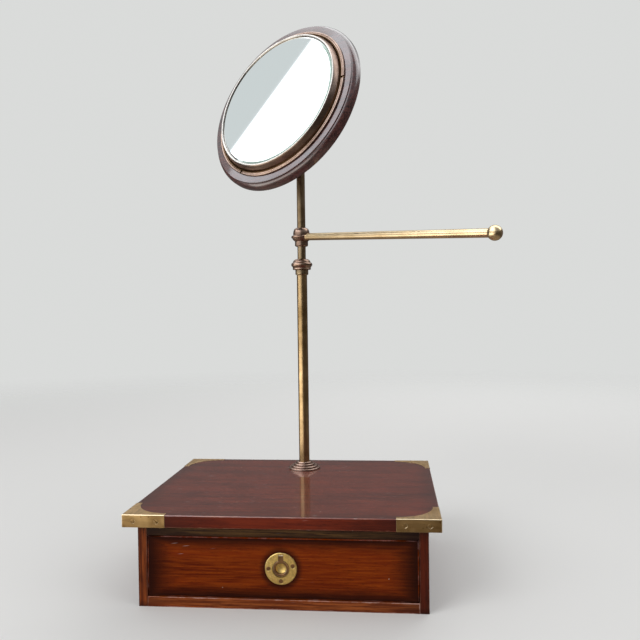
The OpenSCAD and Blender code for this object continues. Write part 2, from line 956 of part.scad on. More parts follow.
module rod_fork() {
    waist = 5.8;
    bulb_z = rod_top + 5;
    bulb_r = 3;
    step = 1;
    slot_foot = pivot_z - tongue_r - 2;
    cheek_foot = fork_h - ear_r - 5.2;
    color(brass) {
        difference() {
            in_fork()
                intersection() {
                    rotate_extrude()
                        polygon(concat(
                            [[0, rod_top], [waist, rod_top], [waist, rod_top + step]],
                            arc(fork_r - bulb_r, bulb_z, bulb_r, -70, 60, 8),
                            [[fork_r - step, bulb_z + bulb_r], [fork_r, bulb_z + bulb_r + step]],
                            [[fork_r, pivot_z + ear_r], [0, pivot_z + ear_r]]
                        ));
                    union() {
                        translate([0, 0, pivot_z])
                            rotate([0, 90, 0])
                                cylinder(r = ear_r, h = 2 * fork_half, center = true);
                        translate([-fork_half, -ear_r, bulb_z + bulb_r])
                            cube([2 * fork_half, 2 * ear_r, pivot_z - bulb_z - bulb_r]);
                        translate([-fork_r - past, -fork_r - past, rod_top - past])
                            cube([2 * fork_r + 2 * past, 2 * fork_r + 2 * past, cheek_foot + past]);
                    }
                }
            in_fork() {
                translate([-ear_gap, -fork_r - past, slot_foot])
                    cube([2 * ear_gap, 2 * fork_r + 2 * past, fork_h]);
                translate([0, 0, pivot_z])
                    rotate([0, 90, 0])
                        cylinder(r = bolt_r, h = 4 * fork_r, center = true);
            }
        }
        on_pole()
            translate([0, 0, rod_top - fork_pin_len + fork_pin_end])
                cylinder(r = fork_pin_r, h = fork_pin_len);
    }
}

module tilt_bolt() {
    head_edge = 0.8;
    end_gap = 1;
    color(dark_brass)
        in_fork()
            translate([-fork_half, 0, pivot_z])
                rotate([0, 90, 0]) {
                    translate([0, 0, -bolt_head_t])
                        cylinder(r1 = bolt_head_r - head_edge, r2 = bolt_head_r, h = bolt_head_t);
                    cylinder(r = bolt_r, h = fork_half + knob_start + knob_boss_len + knob_len - end_gap);
                }
}

module tilt_knob() {
    color(brass)
        in_fork()
            translate([knob_start, 0, pivot_z])
                rotate([0, 90, 0]) {
                    ring(knob_boss_r, bolt_r + fit, knob_boss_len + eps);
                    translate([0, 0, knob_boss_len])
                        fluted_grip(knob_r, knob_len, bolt_r + fit);
                }
}

module arm_sleeve() {
    skirt_top = collar_z - skirt_gap;
    foot = skirt_top - skirt_h;
    rim = collar_z + collar_h + sleeve_rim;
    foot_edge = 1;
    top_edge = 0.4;
    color(brass)
        on_pole()
            rotate_extrude()
                polygon([
                    [rod_r + fit, foot], [skirt_r - foot_edge, foot], [skirt_r, foot + foot_edge],
                    [skirt_r, skirt_top - top_edge], [skirt_r - top_edge, skirt_top], [sleeve_r, skirt_top],
                    [sleeve_r, rim], [rod_r + fit, rim]
                ]);
}

module arm_collar() {
    top = collar_z + collar_h;
    bead = 1.6;
    bead_z = collar_z + collar_bead_up;
    neck_r = collar_r - 2.4;
    foot_r = skirt_r + 0.6;
    mouth = 0.4;
    dome_r = sleeve_r + mouth;
    neck_step = 0.6;
    dome_foot = bead_z + bead + 1.8;
    color(brass)
        difference() {
            on_pole()
                rotate_extrude($fn = smooth_fn)
                    polygon(concat(
                        [[sleeve_r + fit, collar_z], [foot_r, collar_z], [neck_r + mouth, collar_z + bead]],
                        arc(collar_r - bead, bead_z, bead, -70, 70, 9),
                        [[neck_r, bead_z + bead + neck_step]],
                        ellipse_arc(dome_r, dome_foot, neck_r - dome_r, top - dome_foot, 0, 90, 10),
                        [[sleeve_r + fit, top]]
                    ));
            on_arm() {
                translate([arm_seat, -collar_r, -collar_h])
                    cube([collar_r, 2 * collar_r, 2 * collar_h]);
                translate([arm_seat - arm_tenon_len, 0, 0])
                    rotate([0, 90, 0])
                        cylinder(r = arm_tenon_r, h = arm_tenon_len + past);
            }
            on_pole()
                translate([0, 0, bead_z])
                    rotate([-90, 0, 0])
                        cylinder(r = thumb_shank_r + fit, h = collar_r + past);
        }
}

module arm_rod() {
    color(brass)
        on_arm()
            rotate([0, 90, 0]) {
                translate([0, 0, arm_seat - arm_tenon_len])
                    cylinder(r = arm_tenon_r, h = arm_tenon_len + eps);
                translate([0, 0, arm_seat])
                    cylinder(r = arm_r, h = arm_len - arm_seat - ball_r + socket_depth);
            }
}

module arm_ball() {
    color(brass)
        on_arm()
            difference() {
                translate([arm_len, 0, 0])
                    sphere(r = ball_r);
                translate([arm_len - 2 * ball_r, 0, 0])
                    rotate([0, 90, 0])
                        cylinder(r = arm_r, h = ball_r + socket_depth);
            }
}

module arm_thumbscrew() {
    tip = sleeve_r + face_gap;
    color(dark_brass)
        on_pole()
            translate([0, 0, collar_z + collar_bead_up])
                rotate([-90, 0, 0]) {
                    translate([0, 0, tip])
                        cylinder(r = thumb_shank_r, h = collar_r - tip + thumb_neck + eps);
                    translate([0, 0, collar_r + thumb_neck])
                        fluted_grip(thumb_r, thumb_len, 0);
                }
}

module at_bracket_screws() {
    for (i = [0:bracket_screw_count - 1])
        rotate(45 + i * 360 / bracket_screw_count)
            translate([bracket_pcr, 0, frame_back - bracket_t])
                mirror([0, 0, 1])
                    children();
}

module back_bracket() {
    plate_z = frame_back - bracket_t;
    boss_h = 3;
    boss_foot_r = tongue_r + 0.8;
    boss_top_r = 10.5;
    edge = 0.8;
    color(brass)
        in_head()
            difference() {
                union() {
                    rotate_extrude()
                        polygon([
                            [0, plate_z - boss_h], [boss_foot_r, plate_z - boss_h], [boss_top_r, plate_z],
                            [bracket_r - edge, plate_z], [bracket_r, plate_z + edge], [bracket_r, frame_back],
                            [0, frame_back]
                        ]);
                    translate([-tongue_w / 2, -tongue_r, 0])
                        cube([tongue_w, 2 * tongue_r, plate_z]);
                    rotate([0, 90, 0])
                        cylinder(r = tongue_r, h = tongue_w, center = true);
                }
                rotate([0, 90, 0])
                    cylinder(r = bolt_r + fit, h = tongue_w + past, center = true);
                at_bracket_screws()
                    countersunk(screw_head_r, screw_r, bracket_screw_len);
            }
}

module bracket_screws() {
    color(dark_brass)
        in_head()
            at_bracket_screws()
                countersunk(screw_head_r, screw_r, bracket_screw_len);
}

module back_board() {
    color(dark_wood)
        in_head()
            difference() {
                translate([0, 0, frame_back])
                    cylinder(r = backing_r, h = backing_t, $fn = smooth_fn);
                at_bracket_screws()
                    countersunk(screw_head_r, screw_r, bracket_screw_len);
            }
}

module frame_ring() {
    cove_r = 3;
    outer_step = 1;
    band = 0.8;
    mould_foot = frame_face - mould_step - mould_h;
    color(dark_wood)
        in_head()
            difference() {
                rotate_extrude($fn = smooth_fn)
                    polygon(concat(
                        [[frame_hole_r, frame_back + backing_t], [backing_r, frame_back + backing_t]],
                        [[backing_r, frame_back], [frame_r - outer_step - cove_r, frame_back]],
                        arc(frame_r - outer_step, frame_back, cove_r, 180, 90, 8),
                        [[frame_r, frame_back + cove_r + band], [frame_r, mould_foot]],
                        ellipse_arc(frame_r - mould_w, mould_foot, mould_w, mould_h, 0, 90, 12),
                        [[frame_r - mould_w, frame_face], [frame_hole_r, frame_face]]
                    ));
                at_drum_pins()
                    cylinder(r = drum_pin_r, h = 2 * drum_pin_len, center = true);
            }
}

module packing_disc() {
    color(pale_wood)
        in_head()
            translate([0, 0, frame_face])
                cylinder(r = drum_in_r - glass_gap, h = pack_t, $fn = smooth_fn);
}

module felt_pad() {
    color(felt_green)
        in_head()
            translate([0, 0, frame_face + pack_t])
                cylinder(r = drum_in_r - glass_gap, h = felt_t, $fn = smooth_fn);
}

module mirror_glass() {
    bevel = 0.5;
    color(silvered)
        in_head()
            translate([0, 0, glass_z])
                rotate_extrude($fn = smooth_fn)
                    polygon([
                        [0, 0], [drum_in_r - glass_gap, 0], [drum_in_r - glass_gap, glass_t - bevel],
                        [drum_in_r - glass_gap - bevel, glass_t], [0, glass_t]
                    ]);
}

// Repeats its children at the three fixing pins in the drum's bead, on the frame's face
module at_drum_pins() {
    for (i = [0:pin_count - 1])
        rotate(pin_angle + i * 360 / pin_count)
            translate([reeds_r - reed_r, 0, frame_face])
                children();
}

module drum() {
    cove_h = 5.2;
    flange_t = 0.8;
    reed_overlap = 0.3;
    reed_side = 40;
    outer_x = reeds_r - reed_r;
    inner_x = outer_x - 2 * reed_r + reed_overlap;
    reeds_in_r = inner_x - reed_r;
    cove_w = reeds_in_r - rim_r;
    notch_w = 3;
    color(brass)
        in_head()
            difference() {
                rotate_extrude($fn = smooth_fn)
                    polygon(concat(
                        [[drum_in_r, frame_face], [outer_x, frame_face]],
                        arc(outer_x, frame_face + reed_r, reed_r, -90, 180 - reed_side, 8),
                        arc(inner_x, frame_face + reed_r, reed_r, reed_side, 180, 6),
                        ellipse_arc(reeds_in_r, frame_face + flange_t + cove_h, cove_w, cove_h, 270, 180, 8),
                        [[rim_r, rim_z - rim_edge], [rim_r - rim_edge, rim_z], [drum_in_r, rim_z]]
                    ));
                at_drum_pins()
                    translate([reeds_in_r - outer_x, -notch_w / 2, flange_t])
                        cube([reeds_r - reeds_in_r + past, notch_w, 2 * reed_r]);
                at_drum_pins()
                    cylinder(r = drum_pin_r, h = 2 * drum_pin_len, center = true);
            }
}

module drum_pins() {
    color(dark_brass)
        in_head()
            at_drum_pins()
                translate([0, 0, -drum_pin_len])
                    cylinder(r = drum_pin_r, h = drum_pin_len + drum_pin_head);
}

module glass_lip() {
    color(brass)
        in_head()
            rotate_extrude($fn = smooth_fn)
                polygon(concat(
                    [
                        [drum_in_r - glass_gap - lip_cover, rim_z - glass_in], [drum_in_r, rim_z - glass_in],
                        [drum_in_r, rim_z], [rim_r - rim_edge, rim_z]
                    ],
                    arc(rim_r - rim_edge - lip_t, rim_z, lip_t, 0, 90, 5),
                    [[drum_in_r - glass_gap - lip_cover + lip_t, rim_z + lip_t]]
                ));
}

top_board();
side_left();
side_right();
back_panel();
bottom_board();
top_rail();
kickers();
drawer_stops();
corner_front_left();
corner_front_right();
corner_back_left();
corner_back_right();
corner_screws();
pole_flange();
pole_stud();
stud_washer();
stud_nut();
outer_tube();
tube_ferrule();
collet();
clamp_nut();
drawer_front();
drawer_side_left();
drawer_side_right();
drawer_back();
drawer_bottom();
pull_plate();
pull_screws();
pull_pin();
pull_ring();
rod_guide();
inner_rod();
guide_screw();
rod_fork();
tilt_bolt();
tilt_knob();
arm_sleeve();
arm_collar();
arm_rod();
arm_ball();
arm_thumbscrew();
back_bracket();
bracket_screws();
back_board();
frame_ring();
packing_disc();
felt_pad();
mirror_glass();
drum();
drum_pins();
glass_lip();
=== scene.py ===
"""Looks of a campaign vanity mirror: a mahogany box, a brass pole with an arm and a round tilting mirror.

Everything is in metres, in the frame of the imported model: the origin is at the middle of the box's underside,
+X is to the right, +Y to the back and +Z up. Turned sections are drawn in millimetres.
"""

import json
import logging
import math
from contextlib import contextmanager
from dataclasses import dataclass, field
from enum import Enum
from typing import Iterator, Sequence

import bpy
from mathutils import Euler, Matrix, Vector


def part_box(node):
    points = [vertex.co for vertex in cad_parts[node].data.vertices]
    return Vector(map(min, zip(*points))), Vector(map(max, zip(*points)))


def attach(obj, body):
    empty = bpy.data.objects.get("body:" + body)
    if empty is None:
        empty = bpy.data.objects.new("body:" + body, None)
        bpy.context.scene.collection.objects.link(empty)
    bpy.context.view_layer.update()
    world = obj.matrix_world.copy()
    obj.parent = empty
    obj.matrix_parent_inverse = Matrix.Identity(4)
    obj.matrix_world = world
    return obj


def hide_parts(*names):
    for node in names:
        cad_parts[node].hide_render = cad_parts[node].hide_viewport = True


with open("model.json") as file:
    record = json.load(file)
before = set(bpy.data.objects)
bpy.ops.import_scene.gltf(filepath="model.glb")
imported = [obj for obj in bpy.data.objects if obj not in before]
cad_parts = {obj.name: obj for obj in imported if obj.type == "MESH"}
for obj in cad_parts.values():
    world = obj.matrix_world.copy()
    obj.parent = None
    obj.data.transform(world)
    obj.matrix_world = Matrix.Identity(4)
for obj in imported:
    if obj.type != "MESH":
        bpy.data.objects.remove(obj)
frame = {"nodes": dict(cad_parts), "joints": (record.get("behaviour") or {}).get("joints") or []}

LOG = logging.getLogger("vanity_mirror")
MM = 0.001
ORIGIN = (0.0, 0.0, 0.0)
LEVEL = (1.0, 1.0, 0.0)
WELD = 0.002 * MM
NODE_WELD = 0.001 * MM
FLATNESS = 0.6
NO_BORDER = 0.0001
FACING = 0.9
NOISE_MEAN = 0.5

Piece = bpy.types.Object
Socket = bpy.types.NodeSocket
Tree = bpy.types.NodeTree
Material = bpy.types.Material
Colour = tuple[float, float, float]
Point = tuple[float, float, float]
Span = tuple[float, float]
Profile = list[tuple[float, float]]
Value = float | tuple | Socket
Inputs = dict[str | int, Value]


class Along(Enum):
    """The direction that a grain runs in, as the turn in degrees that brings X there."""

    X = (0.0, 0.0, 0.0)
    Y = (0.0, 0.0, 90.0)
    Z = (0.0, 90.0, 0.0)


def linear(value: int) -> float:
    """Turns one value of a screen colour, 0 to 255, into a linear share by the sRGB curve."""
    share = value / 255
    return share / 12.92 if share <= 0.04045 else ((share + 0.055) / 1.055) ** 2.4


def srgb(red: int, green: int, blue: int) -> Colour:
    """Turns a screen colour into a linear one."""
    return linear(red), linear(green), linear(blue)


def shades(*colours: tuple[int, int, int]) -> tuple[Colour, ...]:
    """Turns several screen colours into linear ones."""
    return tuple(srgb(*colour) for colour in colours)


def shaded(colour: Colour, factor: float) -> Colour:
    """Makes a colour darker or lighter by a factor."""
    return tuple(c * factor for c in colour)


def oval(cx: float, cz: float, rx: float, rz: float, start: float, end: float, steps: int = 8) -> Profile:
    """Gives points of an ellipse round (cx, cz), from one angle in degrees to another, both included."""
    angles = [math.radians(start + (end - start) * i / steps) for i in range(steps + 1)]
    return [(cx + rx * math.cos(a), cz + rz * math.sin(a)) for a in angles]


def arc(cx: float, cz: float, radius: float, start: float, end: float, steps: int = 8) -> Profile:
    """Gives points of a circle round (cx, cz), from one angle in degrees to another, both included."""
    return oval(cx, cz, radius, radius, start, end, steps)


def plain(inner: float, outer: float, low: float, high: float) -> Profile:
    """Gives the section of a plain tube, or of a disc where the inner radius is 0."""
    return [(inner, low), (outer, low), (outer, high), (inner, high)]


def spin(angle: float, axis: str = "Z") -> Matrix:
    """Gives a turn by an angle in degrees about an axis."""
    return Matrix.Rotation(math.radians(angle), 4, axis)


def pick(*objects: Piece) -> None:
    """Selects only these objects and makes the first one active.

    Args:
        objects: The objects.
    """
    bpy.ops.object.select_all(action="DESELECT")
    for obj in objects:
        obj.select_set(True)
    bpy.context.view_layer.objects.active = objects[0]


@contextmanager
def editing(obj: Piece, mode: str = "VERT") -> Iterator[None]:
    """Opens an object in edit mode with everything selected.

    Args:
        obj: The object to edit.
        mode: What is selected: VERT, EDGE or FACE.

    Returns:
        A context that leaves edit mode at its end.
    """
    pick(obj)
    bpy.ops.object.mode_set(mode="EDIT")
    bpy.ops.mesh.select_mode(type=mode)
    bpy.ops.mesh.select_all(action="SELECT")
    yield
    bpy.ops.object.mode_set(mode="OBJECT")


def seat(obj: Piece, place: Matrix) -> Piece:
    """Moves a piece into place and puts that place into its mesh.

    Args:
        obj: The piece.
        place: Where it goes.

    Returns:
        The same piece.
    """
    obj.matrix_world = place
    pick(obj)
    bpy.ops.object.transform_apply(location=True, rotation=True, scale=True)
    return obj


def smooth(obj: Piece, angle: float = 32.0) -> Piece:
    """Shades a piece smooth across its blunter edges.

    Args:
        obj: The piece.
        angle: The angle in degrees from which an edge stays sharp.

    Returns:
        The same piece.
    """
    pick(obj)
    bpy.ops.object.shade_smooth_by_angle(angle=math.radians(angle))
    return obj


def modified(obj: Piece, kind: str, **settings: object) -> Piece:
    """Gives a piece a modifier and applies it.

    Args:
        obj: The piece.
        kind: The modifier's type.
        settings: The modifier's properties.

    Returns:
        The same piece.
    """
    step = obj.modifiers.new(kind.lower(), kind)
    for name, value in settings.items():
        setattr(step, name, value)
    pick(obj)
    bpy.ops.object.modifier_apply(modifier=step.name)
    return obj


def rounded(obj: Piece, width: float, segments: int = 2, angle: float = 30.0) -> Piece:
    """Rounds the sharp edges of a piece, and keeps the flat faces beside them flat in the shading.

    Args:
        obj: The piece.
        width: The width of the rounding.
        segments: How many faces the rounding has.
        angle: The least angle, in degrees, of an edge that is rounded.

    Returns:
        The same piece.
    """
    modified(obj, "BEVEL", width=width, segments=segments, limit_method="ANGLE",
             angle_limit=math.radians(angle), use_clamp_overlap=True)
    return modified(smooth(obj), "WEIGHTED_NORMAL", weight=60, keep_sharp=True)


def turned(name: str, profile: Profile, segments: int = 96, closed: bool = False) -> Piece:
    """Draws half a section point by point and spins it round +Z, as on a lathe.

    Args:
        name: The new piece's name.
        profile: Points of the section, as (distance from the axis, height).
        segments: How many steps the turn has.
        closed: Whether the section is a loop, as for a ring.

    Returns:
        The turned piece, at the origin.
    """
    bpy.ops.object.select_all(action="DESELECT")
    bpy.ops.mesh.primitive_plane_add(size=MM, location=ORIGIN)
    obj = bpy.context.active_object
    obj.name = name
    with editing(obj):
        bpy.ops.mesh.merge(type="CENTER")
        bpy.ops.transform.translate(value=(profile[0][0], 0, profile[0][1]))
        for (x0, z0), (x1, z1) in zip(profile, profile[1:]):
            bpy.ops.mesh.extrude_vertices_move(TRANSFORM_OT_translate={"value": (x1 - x0, 0, z1 - z0)})
        if closed:
            bpy.ops.object.mode_set(mode="OBJECT")
            for vertex in obj.data.vertices:
                vertex.select = vertex.index in (0, len(profile) - 1)
            bpy.ops.object.mode_set(mode="EDIT")
            bpy.ops.mesh.edge_face_add()
        bpy.ops.mesh.select_all(action="SELECT")
        bpy.ops.mesh.spin(steps=segments, angle=math.tau, center=ORIGIN, axis=(0, 0, 1))
        bpy.ops.mesh.select_all(action="SELECT")
        bpy.ops.mesh.remove_doubles(threshold=WELD)
        bpy.ops.mesh.normals_make_consistent(inside=False)
    return smooth(obj)


def block(size: Point, middle: Point = ORIGIN) -> Piece:
    """Makes a block that cuts a slot or a notch.

    Args:
        size: Its size along each axis.
        middle: Where its middle is.

    Returns:
        The block.
    """
    bpy.ops.object.select_all(action="DESELECT")
    bpy.ops.mesh.primitive_cube_add(size=1.0, location=ORIGIN)
    tool = bpy.context.active_object
    with editing(tool, "FACE"):
        bpy.ops.transform.resize(value=size)
        bpy.ops.transform.translate(value=middle)
    return tool


def cut(obj: Piece, tool: Piece) -> Piece:
    """Cuts one part out of another and deletes the cutter.

    Args:
        obj: The part that stays.
        tool: The cutter.

    Returns:
        The part that stays.
    """
    modified(obj, "BOOLEAN", operation="DIFFERENCE", solver="EXACT", object=tool)
    bpy.data.objects.remove(tool, do_unlink=True)
    return obj


def repeated(name: str, pattern: Piece, places: Sequence[Matrix]) -> Piece:
    """Copies a pattern part to several places, joins the copies and deletes the pattern.

    Args:
        name: The joined piece's name.
        pattern: The part that is copied.
        places: One place for each copy.

    Returns:
        The joined piece.
    """
    copies = []
    for place in places:
        twin = pattern.copy()
        twin.data = pattern.data.copy()
        bpy.context.scene.collection.objects.link(twin)
        copies.append(seat(twin, place))
    bpy.data.objects.remove(pattern, do_unlink=True)
    pick(*copies)
    bpy.ops.object.join()
    piece = bpy.context.active_object
    piece.name = name
    return piece


def dressed(node: str, name: str, width: float) -> Piece:
    """Makes a piece from a merged copy of a CAD node, and rounds its edges.

    Args:
        node: The CAD node.
        name: The new piece's name.
        width: The width of the rounding.

    Returns:
        The new piece. It stands for the node.
    """
    piece = bpy.data.objects.new(name, frame["nodes"][node].data.copy())
    bpy.context.scene.collection.objects.link(piece)
    with editing(piece, "FACE"):
        bpy.ops.mesh.remove_doubles(threshold=NODE_WELD)
        bpy.ops.mesh.dissolve_limited(angle_limit=math.radians(FLATNESS))
    rounded(piece, width)
    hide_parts(node)
    return piece


def finished(obj: Piece, body: str, material: Material) -> Piece:
    """Gives a piece its body and its material.

    Args:
        obj: The piece.
        body: The CAD body that it rides on.
        material: The material.

    Returns:
        The same piece.
    """
    obj.data.materials.clear()
    obj.data.materials.append(material)
    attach(obj, body)
    LOG.info("%s rides on %s in %s", obj.name, body, material.name)
    return obj


def faced(obj: Piece, material: Material, way: Vector) -> None:
    """Gives the faces of a piece that look one way a material of their own.

    Args:
        obj: The piece.
        material: The material of those faces.
        way: The way that they look.
    """
    obj.data.materials.append(material)
    for face in obj.data.polygons:
        face.material_index = 1 if face.normal.dot(way) > FACING else 0


@dataclass(frozen=True)
class Pattern:
    """A noise: how often it repeats in a metre, evenly or along each axis, and its character."""

    stretch: float | Point
    detail: float = 3.0
    rough: float = 0.55
    bend: float = 0.0


class Graph:
    """Adds nodes to one material's or group's tree."""

    def __init__(self, tree: Tree) -> None:
        """Keeps the tree and clears it."""
        self.tree = tree
        tree.nodes.clear()

    def put(self, socket: Socket, value: Value) -> None:
        """Links an input to another socket, or sets its value.

        Args:
            socket: The input.
            value: A socket, a number, a vector or a colour.
        """
        if isinstance(value, Socket):
            self.tree.links.new(value, socket)
        elif socket.type == "RGBA" and len(value) == 3:
            socket.default_value = (*value, 1.0)
        else:
            socket.default_value = value

    def node(self, kind: str, values: Inputs | None = None, **settings: object) -> bpy.types.Node:
        """Adds a node.

        Args:
            kind: The node's type, without its ShaderNode prefix.
            values: Values or links of its inputs, by name or by number.
            settings: Properties of the node.

        Returns:
            The new node.
        """
        made = self.tree.nodes.new("ShaderNode" + kind if not kind.startswith("Node") else kind)
        for name, value in settings.items():
            setattr(made, name, value)
        for key, value in (values or {}).items():
            self.put(made.inputs[key], value)
        return made

    def group(self, tree: Tree, **values: Value) -> bpy.types.bpy_prop_collection:
        """Places a shared effect and gives its outputs."""
        return self.node("Group", values, node_tree=tree).outputs

    def math(self, operation: str, a: Value, b: Value = 0.0, clamp: bool = False) -> Socket:
        """Works out an operation of two values."""
        return self.node("Math", {0: a, 1: b}, operation=operation, use_clamp=clamp).outputs[0]

    def plus(self, a: Value, b: Value) -> Socket:
        """Adds two values."""
        return self.math("ADD", a, b)

    def minus(self, a: Value, b: Value) -> Socket:
        """Takes the second value from the first."""
        return self.math("SUBTRACT", a, b)

    def times(self, a: Value, b: Value) -> Socket:
        """Multiplies two values."""
        return self.math("MULTIPLY", a, b)

    def blend(self, a: Value, b: Value, share: float) -> Socket:
        """Adds a share of the first value to the rest of the second."""
        return self.plus(self.times(a, share), self.times(b, 1.0 - share))

    def over(self, a: Value, b: Value) -> Socket:
        """Divides the first value by the second."""
        return self.math("DIVIDE", a, b)

    def vector(self, operation: str, a: Value, b: Value = ORIGIN) -> Socket:
        """Works out an operation of two vectors, and gives the vector or the value that it makes."""
        made = self.node("VectorMath", {0: a, 1: b}, operation=operation)
        return made.outputs["Value" if operation in ("LENGTH", "DISTANCE", "DOT_PRODUCT") else "Vector"]

    def mix(self, factor: Value, a: Value, b: Value, blend: str = "MIX") -> Socket:
        """Mixes two colours."""
        return self.node("Mix", {0: factor, 6: a, 7: b}, data_type="RGBA", blend_type=blend).outputs[2]

    def spread(self, value: Value, low: float, high: float, start: float = 0.0, end: float = 1.0) -> Socket:
        """Maps a range smoothly onto another, with nothing outside it."""
        inputs = {"Value": value, "From Min": low, "From Max": high, "To Min": start, "To Max": end}
        return self.node("MapRange", inputs, interpolation_type="SMOOTHSTEP").outputs["Result"]

    def noise(self, vector: Value, pattern: Pattern) -> Socket:
        """Adds a noise.

        Args:
            vector: The coordinates.
            pattern: The noise's stretch and character.

        Returns:
            The noise's value.
        """
        scale = pattern.stretch
        if isinstance(scale, tuple):
            vector, scale = self.vector("MULTIPLY", vector, scale), 1.0
        inputs = {"Vector": vector, "Scale": scale, "Detail": pattern.detail, "Roughness": pattern.rough,
                  "Distortion": pattern.bend}
        return self.node("TexNoise", inputs).outputs["Fac"]

    def part(self, vector: Value, axis: str) -> Socket:
        """Gives one coordinate of a vector."""
        return self.node("SeparateXYZ", {0: vector}).outputs[axis]

    def second(self, vector: Value) -> Socket:
        """Gives the second smallest coordinate of a vector, which on a box's face is its nearest edge's.

        Args:
            vector: The vector.

        Returns:
            The coordinate.
        """
        x, y, z = (self.part(vector, axis) for axis in "XYZ")
        low, high = self.math("MINIMUM", x, y), self.math("MAXIMUM", x, y)
        return self.math("MAXIMUM", low, self.math("MINIMUM", high, z))

    def own(self, local: Value, place: Matrix) -> Socket:
        """Gives the coordinates in the own frame of a piece that is tilted.

        Args:
            local: The Object coordinates.
            place: Where the piece's own frame lies.

        Returns:
            The coordinates in that frame.
        """
        values = {"Vector": local, "Location": tuple(place.to_translation()),
                  "Rotation": tuple(place.to_euler())}
        return self.node("Mapping", values, vector_type="TEXTURE").outputs[0]


def effect(name: str, inputs: dict[str, Value], outputs: Sequence[str]) -> tuple[Graph, dict, dict]:
    """Starts a shared node group with named sockets.

    Args:
        name: The group's name.
        inputs: The input sockets and their default values. A tuple makes a vector.
        outputs: The names of the outputs, which are values.

    Returns:
        The graph, its input sockets by name and its output sockets by name.
    """
    tree = bpy.data.node_groups.new(name, "ShaderNodeTree")
    for key, value in inputs.items():
        kind = "NodeSocketVector" if isinstance(value, tuple) else "NodeSocketFloat"
        tree.interface.new_socket(key, in_out="INPUT", socket_type=kind).default_value = value
    for key in outputs:
        tree.interface.new_socket(key, in_out="OUTPUT", socket_type="NodeSocketFloat")
    graph = Graph(tree)
    into = graph.node("NodeGroupInput")
    out = graph.node("NodeGroupOutput")
    return graph, {key: into.outputs[key] for key in inputs}, {key: out.inputs[key] for key in outputs}


